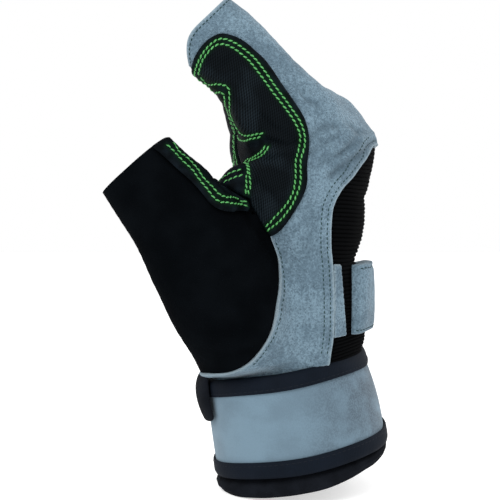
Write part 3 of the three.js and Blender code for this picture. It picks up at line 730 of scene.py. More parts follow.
def suede_finish(name):
    finish, shader, place = new_finish(name, Sheen_Weight=0.12, Sheen_Roughness=0.5, Specular_IOR_Level=0.1)
    cloudy = place.noise(0.06, 2).step(0.3, 0.7)
    brushed = place.noise(0.6, 4, (1, 1, 0.7)).step(0.3, 0.7)
    pebbles = place.noise(1.25, 2).step(0.3, 0.7)
    fibres = place.noise(2.6, 3)
    pits = place.cells(1.0).step(0.05, 0.45)
    tone = cloudy * 0.38 + brushed * 0.27 + pebbles * 0.15 + fibres * 0.2
    colour = tone.step(0.25, 0.75).mix(suede_mid, suede_pale)
    colour = (0.75 - pits * 0.4 - 0.5 * pebbles).clip().mix(colour, suede_dark)
    # Painted shade: the colour darkens along the creases.
    colour = (place.attribute("crease") * (0.35 + 0.4 * pebbles)).clip().mix(colour, suede_dark)
    colour = place.attribute("edge").mix(colour, suede_cut_edge)
    height = fibres * 0.3 + brushed * 0.3 + pits * 0.4 + pebbles * (0.6 + cloudy * 0.8)
    rough = 0.85 + 0.15 * fibres
    feed(shader, Base_Color=colour, Roughness=rough, Normal=height.bump(0.55, 0.0006))
    return finish


suede = suede_finish("suede")


# How near each point of a wall is to its own cut edge, from 1 at the edge to 0 a few tenths inside.
def edge_marks(points, faces, width=0.9):
    rim = points[np.unique(open_edges(faces))]
    marks = np.zeros(len(points))
    for start in range(0, len(points), 4000):
        block = points[start : start + 4000]
        gaps = np.sqrt(((block[:, None] - rim[None, :: max(1, len(rim) // 1500)]) ** 2).sum(2)).min(1)
        marks[start : start + 4000] = 1 - ramp(gaps, 0.2, width)
    return np.concatenate([marks, marks])


# A crease is a soft valley along a line of the side view, with a low ridge on each side of it.
creases = [
    dict(fore=[0.15, 0.22, 0.32, 0.42], up=[0.985, 1.01, 1.045, 1.05], width=1.6, depth=0.8),
    dict(fore=[0.17, 0.28, 0.4], up=[0.93, 0.965, 1.0], width=1.5, depth=0.6),
    dict(fore=[0.36, 0.5, 0.62, 0.72], up=[0.84, 0.895, 0.945, 1.0], width=1.7, depth=1.1),
    dict(fore=[0.3, 0.45, 0.58], up=[0.9, 0.935, 0.99], width=1.5, depth=0.7),
    dict(fore=[0.52, 0.6, 0.68], up=[1.06, 1.03, 1.035], width=1.3, depth=0.6),
    dict(fore=[-0.01, 0.06, 0.1], up=[1.19, 1.14, 1.08], width=1.3, depth=0.5),
    dict(fore=[0.1, 0.16, 0.24], up=[1.2, 1.16, 1.14], width=1.4, depth=0.5),
    dict(fore=[0.24, 0.3, 0.36], up=[1.0, 0.98, 0.985], width=1.2, depth=0.5),
    dict(fore=[0.44, 0.52, 0.6], up=[0.93, 0.975, 1.035], width=1.4, depth=0.6),
    dict(fore=[0.2, 0.26, 0.34], up=[0.88, 0.9, 0.94], width=1.5, depth=0.35),
    dict(fore=[0.18, 0.2, 0.16], up=[0.72, 0.6, 0.5], width=2.2, depth=0.3),
    dict(fore=[-0.05, 0.08, 0.2], up=[0.3, 0.27, 0.29], width=2.0, depth=0.25),
]


def crease_gap(points, table):
    line = smooth_line(side_places(dict(fore=table["fore"], up=table["up"])), 4)
    return line_gap(points, line) / table["width"]


def crease_relief(points, table):
    gap = crease_gap(points, table)
    return table["depth"] * (gap**2 - 0.7) * np.exp(-(gap**2)) * 1.3


# Painted shade: the suede's colour is darkened along the creases, where shadow gathers.
def crease_shade(points):
    marks = np.zeros(len(points))
    for table in creases:
        gap = crease_gap(points, table)
        marks = np.maximum(marks, min(1.0, 1.1 * table["depth"]) * np.exp(-1.5 * gap**2))
    return marks


def soft_waves(points, size, seed):
    chance = np.random.default_rng(seed)
    total = np.zeros(len(points))
    for _ in range(6):
        direction = chance.normal(size=3)
        direction /= np.linalg.norm(direction) * size * chance.uniform(0.7, 1.4)
        total += np.sin(points @ direction * 2 * math.pi + chance.uniform(0, 6.28))
    return total / 6


# The knuckles push the cloth out in a blunt ridge across the back.
knuckle_rise = 2.4
knuckle_place = hand_point(0.755, 0, 1.02)


def knuckle_relief(points):
    gap = np.hypot(points[:, 0] - knuckle_place[0], points[:, 2] - knuckle_place[2])
    return knuckle_rise * np.exp(-((gap / 8) ** 2))


turned_edge = 5.2
back_row_insets = (1.7, 4.1)
seam_half = 0.15


def suede_relief(points):
    relief = 0.45 + knuckle_relief(points) + 0.5 * soft_waves(points, 22, 3) + 0.2 * soft_waves(points, 9, 4)
    for table in creases:
        relief += crease_relief(points, table)
    inset = -in_back(points)
    for distance in back_row_insets:
        relief -= 0.22 * np.exp(-(((inset - distance) / 0.8) ** 2))
    return relief + 0.5 * (1 - ramp(inset, turned_edge, turned_edge + 1.4))


def in_suede(points):
    region = -np.maximum(in_back(points), in_thumb(points)) - seam_half
    return np.minimum(region, inside_ends(points))


def skin_piece(region, name, finish, nodes, relief):
    points, faces = cut_to(region, skin_points, skin_quads, glove_value, glove_cell)
    normals = normals_of(glove_value, points)
    raised = relief(points)[:, None]
    places, walls = wall_from(points, faces, normals, raised, raised - skin_wall)
    # The crease attribute carries the painted shade of the creases.
    labels = {"edge": edge_marks(points, faces), "crease": np.tile(crease_shade(points), 2)}
    return show(name, places, walls, finish, nodes, 50, labels)


shell_nodes = ["palm_suede", *(f"{name}_stall" for name in fingers)]
shell = skin_piece(in_suede, "suede_shell", suede, shell_nodes, suede_relief)


# The suede is sewn with a dark green thread: twin rows hold its folded edge over the back panel, and single
# rows run along the thumb's panel and round the fingers' rims. Each stitch is a short length of thread
# whose ends dip into the cloth.
dark_thread, dark_shader, dark_place = new_finish("dark_thread", Roughness=0.7, Specular_IOR_Level=0.2)
feed(dark_shader, Base_Color=dark_place.noise(3.0).mix((0.004, 0.018, 0.018), (0.014, 0.045, 0.044)))


def onto_surface(flat, value, side=-1):
    depths = side * np.arange(66, -1, -1.5)
    rays = np.repeat(flat[:, None, :], len(depths), 1)
    points = np.stack([rays[..., 0], np.broadcast_to(depths, rays.shape[:2]), rays[..., 1]], -1)
    values = value(points.reshape(-1, 3)).reshape(points.shape[:2])
    inside = values < 0
    first = np.where(inside.any(1), inside.argmax(1), values.argmin(1))
    found = points[np.arange(len(flat)), first]
    missed = ~inside.any(1)
    before = np.maximum(first - 1, 0)
    rows = np.arange(len(flat))
    share = values[rows, before] / np.maximum(values[rows, before] - values[rows, first], 1e-6)
    close = points[rows, before] + share[:, None] * (found - points[rows, before])
    found = np.where((missed | (first == 0))[:, None], found, close)
    return settle(value, found, 3)


def along_path(path, pitch):
    lengths = np.concatenate([[0], np.cumsum(np.linalg.norm(np.diff(path, axis=0), axis=1))])
    count = max(int(lengths[-1] / pitch), 1)
    spots = (np.arange(count) + 0.5) * lengths[-1] / count
    centres = np.stack([np.interp(spots, lengths, path[:, n]) for n in range(3)], 1)
    ahead = np.stack([np.interp(spots + 0.4 * pitch, lengths, path[:, n]) for n in range(3)], 1)
    behind = np.stack([np.interp(spots - 0.4 * pitch, lengths, path[:, n]) for n in range(3)], 1)
    along = ahead - behind
    return centres, along / np.maximum(np.linalg.norm(along, axis=1), 1e-6)[:, None]


def stitch_shapes(centres, along, normals, length, thick, slant):
    across = np.cross(normals, along)
    across /= np.linalg.norm(across, axis=1)[:, None]
    share = np.linspace(-1, 1, 5)
    arch = np.cos(share * 1.35)
    middle = centres[:, None] + along[:, None] * (share * length / 2)[None, :, None]
    middle += across[:, None] * (share * slant)[None, :, None]
    middle += normals[:, None] * ((arch - 0.5) * thick)[None, :, None]
    turn = np.arange(6) / 6 * 2 * math.pi
    ring = across[:, None, None] * np.cos(turn)[:, None]
    ring = ring + normals[:, None, None] * np.sin(turn)[:, None] * 0.85
    places = middle[:, :, None] + ring * (thick * (0.3 + 0.7 * arch))[None, :, None, None]
    count = len(centres)
    numbers = np.arange(count * 30).reshape(count, 5, 6)
    after = np.roll(numbers, -1, axis=2)
    sides = np.stack([numbers[:, :-1], after[:, :-1], after[:, 1:], numbers[:, 1:]], -1).reshape(-1, 4)
    caps = np.concatenate([numbers[:, 0, ::-1], numbers[:, -1]])
    return places.reshape(-1, 3), [*sides.tolist(), *caps.tolist()]


def sew(name, rows, finish, pitch, length, thick, slant=0.0):
    every, faces = [], []
    for path, normals_at in rows:
        if len(path) < 2:
            continue
        centres, along = along_path(path, pitch)
        places, walls = stitch_shapes(centres, along, normals_at(centres), length, thick, slant)
        start = sum(len(p) for p in every)
        faces += [[n + start for n in face] for face in walls]
        every.append(places)
    return show(name, np.concatenate(every), faces, finish, (), 60)


def raised_row(flat, value, height_of, side=-1):
    base = onto_surface(flat, value, side)
    normals = normals_of(value, base)
    return base + normals * height_of(base)[:, None], lambda points: normals_of(value, points)


def beside(line, distance):
    slope = np.gradient(line, axis=0)
    slope /= np.linalg.norm(slope, axis=1)[:, None]
    return line + distance * np.stack([-slope[:, 1], slope[:, 0]], 1)


def between(line, low, high):
    return line[(line[:, 1] > low) & (line[:, 1] < high)]


fine_back = smooth_line(side_places(back_seam), 8)
fine_thumb = smooth_line(side_places(thumb_seam), 8)
seam_foot = hand_point(0, 0, 0.07)[2]
suede_rows = []
for distance in back_row_insets:
    for side in (-1, 1):
        line = between(beside(fine_back, distance), seam_foot, hand_point(0, 0, 1.02)[2])
        suede_rows.append(raised_row(line, glove_value, suede_relief, side))
line = between(beside(fine_thumb, -1.6), seam_foot - 3, hand_point(0, 0, 0.57)[2])
suede_rows.append(raised_row(line, glove_value, suede_relief))


def with_finger(name):
    stall = stall_limbs[name]
    return lambda points: join_softly(mitten_value(points), limb_value(stall, points), stall_softness)


rim_turns = 49


# A row of stitches round one finger's rim, found by halving the way out from the finger's middle.
def rim_row(name, finger, inset):
    turns = np.linspace(0, 2 * math.pi, rim_turns)
    low, high = np.zeros(rim_turns), np.full(rim_turns, 0.6 * finger_depth)
    middle_y = finger["place"] * finger_pitch
    length = finger["length"] * finger_length
    ends = np.full(rim_turns, length)
    for _ in range(26):
        reach = (low + high) / 2
        middle, depth, _ = stall_section(finger, ends / length)
        across = middle * finger_depth + reach * np.cos(turns)
        off = reach * np.sin(turns)
        ends = rim_end(finger, depth, -reach * np.cos(turns), off) - inset
        points = finger_root + ends[:, None] * finger_axis + across[:, None] * finger_back
        points = points + (middle_y + off)[:, None] * sideways
        inside = with_finger(name)(points) < 0
        low, high = np.where(inside, reach, low), np.where(inside, high, reach)
    normals = normals_of(with_finger(name), points)
    return points + normals * suede_relief(points)[:, None], lambda p: normals_of(with_finger(name), p)


for name, finger in fingers.items():
    suede_rows.append(rim_row(name, finger, 1.5))
suede_stitches = sew("suede_stitches", suede_rows, dark_thread, 1.9, 1.4, 0.23)


# The thumb is cut from black cloth with a short dense pile, in one piece with the muscle panel below it.
# It is the darkest piece, with only a faint bloom where the pile turns away.
velour, velour_shader, velour_place = new_finish("velour", Roughness=1.0, Specular_IOR_Level=0.015)
pile = velour_place.noise(1.6, 4)
shading = velour_place.noise(0.06, 2).step(0.35, 0.7)
feed(
    velour_shader,
    Base_Color=(pile * 0.5 + shading * 0.5).clip().mix((0.0007, 0.001, 0.0014), (0.0024, 0.0033, 0.0044)),
    Normal=pile.bump(0.5, 0.0004),
)


def in_thumb_cloth(points):
    return np.minimum(in_thumb(points) - seam_half, inside_ends(points))


def thumb_relief(points):
    return 0.5 * soft_waves(points, 26, 7) - 0.25


thumb = skin_piece(in_thumb_cloth, "thumb", velour, ["thumb_stall"], thumb_relief)


# The back is a stretch panel with raised ribs across it, sewn in under the suede's edge. It is a sheet of
# rows from seam to seam, with six rows to each rib; at the wrist the rows lean with the cuff.
rib_pitch = 1.65
rib_height = 0.65
knit, knit_shader, knit_place = new_finish("rib_knit", Roughness=0.95, Specular_IOR_Level=0.015)
strand = knit_place.noise(2.5, 3, (0.4, 0.4, 1.5))
# Painted light and shade: the colour is lighter on the ribs' crests and darker in the grooves between them.
painted_rib_light = knit_place.attribute("groove")
feed(
    knit_shader,
    Base_Color=(strand * 0.6 + painted_rib_light * 0.4).clip().mix((0.0004, 0.0005, 0.0006), (0.003, 0.0032, 0.0036)),
    Normal=strand.bump(0.5, 0.0003),
)


# Rows of places across the back of the hand, each from one edge of a region to the other.
ray_count = 121
ray_reach = 60.0


def section_rows(region, heights, columns):
    turns = np.radians(np.linspace(-120, 120, ray_count))
    found = []
    for height in heights:
        lean = wrist_tilt * (1 - ramp(height, strap_top, strap_top + 34))
        centre = np.array([6.0, 0, height + 6 * math.tan(lean)])
        rays = np.stack([np.cos(turns) * math.cos(lean), np.sin(turns), np.cos(turns) * math.sin(lean)], 1)
        low, high = np.zeros(ray_count), np.full(ray_count, ray_reach)
        for _ in range(13):
            middle = (low + high) / 2
            inside = mitten_value(centre + rays * middle[:, None]) < 0
            low, high = np.where(inside, middle, low), np.where(inside, high, middle)
        line = centre + rays * ((low + high) / 2)[:, None]
        sides = region(line)
        ends = []
        for step in (-1, 1):
            n = ray_count // 2
            while 0 < n < ray_count - 1 and sides[n] >= 0 and sides[n + step] >= 0:
                n += step
            crosses = sides[n] >= 0 > sides[n + step]
            ends.append(n + step * sides[n] / (sides[n] - sides[n + step]) if crosses else None)
        if None not in ends:
            spots = np.linspace(ends[0], ends[1], columns)
            found.append(np.stack([np.interp(spots, np.arange(ray_count), line[:, a]) for a in range(3)], 1))
    return np.array(found)


def finer_rows(rows, times):
    spots = np.linspace(0, len(rows) - 1, (len(rows) - 1) * times + 1)
    before = np.minimum(spots.astype(int), len(rows) - 2)
    share = (spots - before)[:, None, None]
    return rows[before] * (1 - share) + rows[before + 1] * share


def grid_normals(rows):
    normals = np.cross(np.gradient(rows, axis=1), np.gradient(rows, axis=0))
    return normals / np.maximum(np.linalg.norm(normals, axis=2), 1e-9)[..., None]


def grid_faces(row_count, column_count, closed=False):
    numbers = np.arange(row_count * column_count).reshape(row_count, column_count)
    after = np.roll(numbers, -1, axis=1) if closed else numbers[:, 1:]
    here = numbers if closed else numbers[:, :-1]
    return np.stack([here[:-1], after[:-1], after[1:], here[1:]], -1).reshape(-1, 4)


rows_per_rib = 6
back_heights = np.arange(strap_top - 1.5, hand_point(0, 0, 1.04)[2], rib_pitch)
coarse_rows = section_rows(lambda p: in_back(p) - seam_half, back_heights, 72)
coarse_rows = coarse_rows[coarse_rows[..., 2].mean(1) > 0]
back_rows = finer_rows(coarse_rows, rows_per_rib)
back_rows[..., 2] += 0.22 * np.sin(back_rows[..., 1] * 0.21) + 0.18 * np.sin(back_rows[..., 1] * 0.083 + 1)
back_normals = grid_normals(back_rows).reshape(-1, 3)
flat = back_rows.reshape(-1, 3)
row_number = np.repeat(np.arange(len(back_rows)), back_rows.shape[1])
rib = np.abs(np.cos(math.pi * row_number / rows_per_rib)) ** 0.7
rise = rib_height * rib - 0.55 + knuckle_relief(flat) + 0.3 * soft_waves(flat, 24, 9)
above_foot = ramp(seam_height(flat), 0, 5)
rise = rise - 0.4 * (1 - above_foot)
back_faces = grid_faces(*back_rows.shape[:2])
places, walls = wall_from(flat, back_faces, back_normals, rise[:, None], rise[:, None] - skin_wall)
# The ribs' heights also feed the painted light and shade of the ribs.
knit_back = show("knit_back", places, walls, knit, ["back_panel"], 60, {"groove": np.concatenate([rib, rib])})


# The grip panels are padded cloth with a fine twill face, quilted by twin rows of bright thread. Their plain
# border is turned under, so it rounds down to the suede. The index finger's panel wraps round to the palm.
grip_wall = 1.9
grip_lift = 0.6
grip, grip_shader, grip_place = new_finish("grip_cloth", Specular_IOR_Level=0.025)
drift = grip_place.noise(0.06, 1.0) * 1.5
twill = (grip_place.part("X") + grip_place.part("Z") * 0.12 + grip_place.part("Y") * 0.3 + drift) * 7.4
weft = (grip_place.part("Z") - grip_place.part("X") * 0.5 + grip_place.part("Y") * 0.2 + drift) * 5.2
weave = twill.sine() * 0.7 + weft.sine() * 0.3
field_mask = grip_place.attribute("field")
wear_and_shade_tone = grip_place.noise(0.22, 3).step(0.35, 0.7)
plain = wear_and_shade_tone.mix((0.0014, 0.0022, 0.003), (0.004, 0.0068, 0.0095))
raised = (weave * 0.5 + 0.5).clip() * (0.35 + 0.65 * grip_place.noise(0.075, 2).step(0.4, 0.62))
woven = raised.mix((0.0006, 0.001, 0.0014), (0.0105, 0.0165, 0.0215))
# Painted shade with a tint of the thread: the cloth is darker and greener along the sunk stitch rows.
groove_shade_and_thread_tint = (grip_place.attribute("row") * 0.8).clip()
grip_colour = groove_shade_and_thread_tint.mix(field_mask.mix(plain, woven), (0.002, 0.014, 0.004))
feed(
    grip_shader,
    Base_Color=grip_colour,
    Roughness=0.7 - field_mask * 0.12,
    Normal=(weave * field_mask * 0.5 + grip_place.noise(2.0, 3) * 0.3).bump(0.7, 0.0003),
)
bright_thread, bright_shader, bright_place = new_finish(
    "bright_thread", Roughness=0.55, Specular_IOR_Level=0.3
)
bright_tone = bright_place.noise(3.0).step(0.3, 0.7)
feed(bright_shader, Base_Color=bright_tone.mix((0.02, 0.17, 0.03), (0.12, 0.42, 0.13)))
bright_stitch = dict(pitch=2.1, length=1.95, thick=0.36, slant=0.24)

finger_part = dict(
    along=[0.71, 0.773, 0.797, 0.79, 0.75, 0.6, 0.44, 0.25, 0.1, -0.14],
    across=[-0.43, -0.277, -0.13, 0, 0.11, 0.215, 0.24, 0.228, 0.195, 0.152],
)
hand_part = dict(
    fore=[0.142, 0.174, 0.182, 0.166, 0.166, 0.125, 0.035, -0.055, -0.129, -0.202, -0.251, -0.292, -0.301],
    up=[1.076, 1.021, 0.959, 0.875, 0.804, 0.745, 0.666, 0.607, 0.592, 0.637, 0.687, 0.72, 0.743],
)
web_part = dict(
    fore=[-0.35, -0.399, -0.497, -0.579, -0.68, -1.1],
    up=[0.752, 0.765, 0.785, 0.798, 0.86, 1.2],
)
outline_parts = (finger_part, hand_part, web_part, dict(along=[0.65], across=[-0.9]))
index_outline = smooth_line(side_places(*outline_parts), 4, True)
field_outline = side_places(
    dict(
        fore=[-0.702, -0.661, -0.579, -0.505, -0.382, -0.26, -0.153]
        + [-0.047, 0.068, 0.096, 0.068, 0.064, 0.019],
        up=[1.293, 1.343, 1.379, 1.385, 1.347, 1.285, 1.205]
        + [1.13, 1.046, 0.988, 0.9, 0.829, 0.749],
    ),
    dict(
        fore=[-0.08, -0.194, -0.251, -0.292, -0.288, -0.288, -0.268, -0.202, -0.145, -0.12, -0.153],
        up=[0.691, 0.641, 0.683, 0.745, 0.791, 0.85, 0.883, 0.917, 0.938, 0.963, 1.021],
    ),
    dict(
        fore=[-0.268, -0.325, -0.382, -0.436, -0.468, -0.534, -0.628],
        up=[1.025, 1.034, 1.063, 1.122, 1.214, 1.237, 1.253],
    ),
)
outer_row = dict(
    fore=[-0.742, -0.709, -0.652, -0.554, -0.456, -0.317, -0.199, -0.092, 0.022, 0.124, 0.144, 0.116, 0.112],
    up=[1.289, 1.331, 1.374, 1.41, 1.402, 1.354, 1.281, 1.203, 1.124, 1.041, 0.976, 0.899, 0.811],
)
outer_tail = dict(fore=[0.059, -0.035, -0.164], up=[0.732, 0.663, 0.613])
inner_row = dict(
    fore=[-0.705, -0.676, -0.59, -0.521, -0.444, -0.321, -0.205, -0.113, -0.018, 0.075, 0.108, 0.079, 0.075],
    up=[1.289, 1.333, 1.381, 1.389, 1.374, 1.324, 1.249, 1.183, 1.12, 1.049, 0.995, 0.899, 0.828],
)
inner_tail = dict(fore=[0.034, -0.064, -0.181], up=[0.745, 0.682, 0.632])
palm_outer_row = dict(
    fore=[-0.73, -0.655, -0.565, -0.494, -0.468, -0.418, -0.348, -0.27, -0.19],
    up=[1.278, 1.238, 1.217, 1.198, 1.133, 1.07, 1.013, 1.007, 1.009],
)
palm_inner_row = dict(
    fore=[-0.685, -0.622, -0.53, -0.464, -0.43, -0.376, -0.322, -0.26, -0.169],
    up=[1.28, 1.251, 1.236, 1.217, 1.12, 1.059, 1.028, 1.022, 1.022],
)
low_outer_row = dict(
    fore=[-0.16, -0.177, -0.234, -0.309, -0.325, -0.325, -0.338],
    up=[0.971, 0.952, 0.933, 0.9, 0.857, 0.794, 0.762],
)
low_inner_row = dict(
    fore=[-0.131, -0.152, -0.21, -0.28, -0.296, -0.296, -0.303],
    up=[0.967, 0.946, 0.925, 0.891, 0.853, 0.794, 0.758],
)
arc_outer_row = dict(fore=[-0.537, -0.503, -0.436, -0.368], up=[0.8, 0.815, 0.838, 0.851])
arc_inner_row = dict(fore=[-0.503, -0.469, -0.419, -0.36], up=[0.794, 0.808, 0.823, 0.834])
bright_lines = [
    smooth_line(side_places(*tables), 6)
    for tables in (
        (outer_row, outer_tail),
        (inner_row, inner_tail),
        (palm_outer_row,),
        (palm_inner_row,),
        (low_outer_row,),
        (low_inner_row,),
        (arc_outer_row,),
        (arc_inner_row,),
    )
]
pinches = [
    dict(fore=[-0.22, -0.1, 0.02, 0.1], up=[0.985, 0.98, 0.965, 0.975], width=2.6, depth=1.6),
    dict(fore=[-0.2, -0.08, 0.03], up=[1.09, 1.03, 1.0], width=2.2, depth=0.8),
    dict(fore=[-0.12, 0.0, 0.07], up=[0.9, 0.925, 0.92], width=2.4, depth=0.8),
    dict(fore=[-0.24, -0.14, -0.06], up=[0.8, 0.76, 0.69], width=2.6, depth=0.7),
    dict(fore=[-0.6, -0.52, -0.46], up=[1.33, 1.3, 1.32], width=2.6, depth=0.7),
]


def finger_column(name):
    middle = fingers[name]["place"] * finger_pitch
    half = finger_pitch / 2 - 1.3
    if name == "index":
        return lambda points: middle + half - points[:, 1]
    return lambda points: half - np.abs(points[:, 1] - middle)


def rounded_edge(inset, width):
    share = np.clip(inset / width, 0, 1)
    return np.sqrt(np.maximum(1 - (1 - share) ** 2, 0.02))


def outline_box(outline, margin):
    low = [outline[:, 0].min() - margin, glove_low[1], outline[:, 1].min() - margin]
    high = [outline[:, 0].max() + margin, glove_high[1], outline[:, 1].max() + margin]
    return np.maximum(low, glove_low), np.minimum(high, glove_high)


def region_of(outline, limits):
    return lambda spots: np.minimum(outline_value(outline, spots), limits(spots))


def pad_piece(name, outline, value, limits, nodes, finish, wall, cell, profile):
    region = region_of(outline, limits)
    points, quads = surface_of(value, *outline_box(outline, 2 * cell), cell)
    points, faces = cut_to(region, points, quads, value, cell)
    normals = normals_of(value, points)
    height, marks, near_row = profile(points, region(points))
    base = grip_lift + lying_on(points)
    places, walls = wall_from(points, faces, normals, (base + height * wall)[:, None], base[:, None])
    labels = {"field": np.concatenate([marks, marks]), "row": np.concatenate([near_row, near_row])}
    piece = show(name, places, walls, finish, nodes, 70, labels)
    return piece


# The pads lie on the suede, and follow its broad waves but not its folds.
def lying_on(points):
    return 0.45 + 0.5 * soft_waves(points, 22, 3)


def index_profile(points, inset):
    field = outline_value(field_outline, points)
    row_gap = np.min([line_gap(points, line) for line in bright_lines[:6]], axis=0)
    height = rounded_edge(inset, 1.6) * (0.68 + 0.32 * ramp(field, 0.4, 5))
    height -= 0.16 * np.exp(-((row_gap / 0.8) ** 2)) * ramp(inset, 0.3, 1.2)
    for table in pinches:
        height += crease_relief(points, table) / grip_wall * ramp(inset, 0.5, 3)
    return np.maximum(height, 0.1), ramp(field, -0.2, 0.5), np.exp(-((row_gap / 0.75) ** 2))


pad_cell = 0.75
index_grip = pad_piece(
    "index_grip",
    index_outline,
    with_finger("index"),
    finger_column("index"),
    ["index_pad"],
    grip,
    grip_wall,
    pad_cell,
    index_profile,
)


def index_height(points):
    inset = np.minimum(outline_value(index_outline, points), finger_column("index")(points))
    return grip_lift + lying_on(points) + grip_wall * index_profile(points, inset)[0]


index_rows = [raised_row(line, with_finger("index"), index_height) for line in bright_lines]
index_stitches = sew("index_stitches", index_rows, bright_thread, **bright_stitch)


# The other grip panels are the same cloth: one on each finger's palm side and a broad one on the palm.
# A twin row of the bright thread runs round each of them too.
finger_pad = dict(along=[0.6, 0.72, 0.5, 0.1, -0.1, -0.14], across=[-0.9, -0.3, -0.14, -0.12, -0.26, -0.9])
palm_pad = dict(fore=[-0.9, -0.2, -0.05, 0, -0.1, -0.9], up=[0.82, 0.82, 0.7, 0.4, 0.22, 0.18])


pad_row_insets = (1.9, 3.7)


def plain_profile(points, inset):
    height = rounded_edge(inset, 1.8) * (0.68 + 0.32 * ramp(inset, 4, 8))
    row_gap = np.min([np.abs(inset - level) for level in pad_row_insets], axis=0)
    height -= 0.14 * np.exp(-((row_gap / 0.8) ** 2))
    return np.maximum(height, 0.1), ramp(inset, 4.4, 4.9), np.exp(-((row_gap / 0.75) ** 2))


# The line on a surface where a region's value has one level, as paths in order.
def level_paths(region, level, points, faces):
    values = region(points) - level
    joins = {}
    places = {}
    for face in faces[(values[faces] > 0).any(1) & (values[faces] <= 0).any(1)]:
        keys = []
        for n in range(3):
            a, b = int(face[n]), int(face[(n + 1) % 3])
            if (values[a] > 0) != (values[b] > 0):
                key = (min(a, b), max(a, b))
                share = values[a] / (values[a] - values[b])
                places[key] = points[a] + share * (points[b] - points[a])
                keys.append(key)
        joins.setdefault(keys[0], []).append(keys[1])
        joins.setdefault(keys[1], []).append(keys[0])
    paths = []
    while joins:
        start = next((key for key, links in joins.items() if len(links) == 1), next(iter(joins)))
        path, key = [], start
        while key is not None:
            path.append(places[key])
            links = joins.pop(key, [])
            for link in links:
                if link in joins and key in joins[link]:
                    joins[link].remove(key)
            key = next((link for link in links if link in joins), None)
        if len(path) > 8:
            paths.append(np.array(path))
    return paths


def smoothed(path, times=6):
    for _ in range(times):
        path = np.concatenate([path[:1], (path[:-2] + 2 * path[1:-1] + path[2:]) / 4, path[-1:]])
    return path


def pad_with_rows(name, outline, value, limits, nodes):
    cell = pad_cell * 1.3
    piece = pad_piece(f"{name}_grip", outline, value, limits, nodes, grip, grip_wall, cell, plain_profile)
    region = region_of(outline, limits)
    points, quads = surface_of(value, *outline_box(outline, 3), 1.8)
    triangles = np.concatenate([quads[:, [0, 1, 2]], quads[:, [0, 2, 3]]])
    rows = []
    for level in pad_row_insets:
        for path in level_paths(region, level, points, triangles):
            path = settle(value, smoothed(path), 1)
            height = grip_lift + lying_on(path) + grip_wall * plain_profile(path, region(path))[0]
            raised = path + normals_of(value, path) * height[:, None]
            rows.append((raised, lambda p: normals_of(value, p)))
    return rows


palm_rows = []
for name in ("middle", "ring", "little"):
    outline = smooth_line(side_places(finger_pad), 4, True)
    palm_rows += pad_with_rows(name, outline, with_finger(name), finger_column(name), [f"{name}_pad"])


def palm_limits(points):
    near = np.maximum(life_side(points) + 2.2, -0.21 * palm_width)
    return np.minimum(points[:, 1] - near, 0.42 * palm_width - points[:, 1])


palm_outline = smooth_line(side_places(palm_pad), 4, True)
palm_rows += pad_with_rows("palm", palm_outline, mitten_value, palm_limits, ["palm_pad"])
palm_stitches = sew("palm_stitches", palm_rows, bright_thread, **bright_stitch)


# The crotch patch is the same cloth without padding: a strip along the thumb's upper edge that spreads over
# the web between thumb and finger, where it takes the most wear. Twin rows of bright thread hold it.
thumb_patch = dict(
    fore=[-1.12, -0.992, -0.86, -0.745, -0.68, -0.63, -0.579]
    + [-0.498, -0.41, -0.36, -0.318, -0.303, -0.312, -0.399],
    up=[1.13, 1.04, 0.985, 0.903, 0.856, 0.823, 0.794]
    + [0.781, 0.761, 0.747, 0.737, 0.715, 0.692, 0.682],
)
patch_foot = dict(
    fore=[-0.531, -0.62, -0.69, -0.77, -0.9, -1.03, -1.2],
    up=[0.685, 0.712, 0.755, 0.8, 0.858, 0.92, 1.0],
)
patch_outline = smooth_line(side_places(thumb_patch, patch_foot), 4, True)


def patch_limits(points):
    return np.minimum(-0.3 * palm_width - points[:, 1], below_thumb_rim(points) - 0.35)


patch_wall = 0.9
crotch_rows = (
    dict(
        fore=[-0.945, -0.896, -0.834, -0.752, -0.69, -0.625, -0.557, -0.465, -0.383, -0.322],
        up=[0.958, 0.919, 0.894, 0.852, 0.81, 0.777, 0.742, 0.731, 0.727, 0.727],
    ),
    dict(
        fore=[-0.99, -0.926, -0.864, -0.78, -0.72, -0.658, -0.59, -0.507, -0.404, -0.325],
        up=[0.948, 0.916, 0.882, 0.843, 0.804, 0.767, 0.726, 0.711, 0.706, 0.707],
    ),
)
crotch_lines = [smooth_line(side_places(row), 6) for row in crotch_rows]


def patch_profile(points, inset):
    row_gap = np.min([line_gap(points, line) for line in crotch_lines], axis=0)
    return rounded_edge(inset, 1.0), 0 * inset, np.exp(-((row_gap / 0.75) ** 2))


crotch = pad_piece(
    "crotch_patch",
    patch_outline,
    mitten_value,
    patch_limits,
    ["thumb_patch"],
    grip,
    patch_wall,
    pad_cell,
    patch_profile,
)


def patch_height(points):
    return grip_lift + lying_on(points) + patch_wall


patch_rows = [raised_row(line, mitten_value, patch_height) for line in crotch_lines]
patch_stitches = sew("patch_stitches", patch_rows, bright_thread, **bright_stitch)


# The band is a strip of the same suede across the back, folded round at its ends into soft rolls, and held by
# a row of dark stitches along each hem. It is what the glove is pulled on by.
band_wall = 3.3
band_foot, band_top = hand_point(0, 0, 0.13)[2], hand_point(0, 0, 0.463)[2]
band_limit = hand_point(0.565, 0, 0)[0]
band_rows = section_rows(lambda p: p[:, 0] - band_limit, np.linspace(band_foot, band_top, 13), 96)
band_rows = finer_rows(band_rows, 4)
band_normals = grid_normals(band_rows)
row_count, column_count = band_rows.shape[:2]
from_foot = np.linspace(0, 1, row_count)[:, None] * (band_top - band_foot)
step_lengths = np.linalg.norm(np.diff(band_rows, axis=1), axis=2)
from_end = np.concatenate([np.zeros((row_count, 1)), np.cumsum(step_lengths, 1)], 1)
from_end = np.minimum(from_end, from_end[:, -1:] - from_end)
hem_gap = np.minimum(from_foot, band_top - band_foot - from_foot) + 0 * from_end
rolled = rounded_edge(from_end, 6.0) * (0.72 + 0.28 * rounded_edge(hem_gap, 1.0))
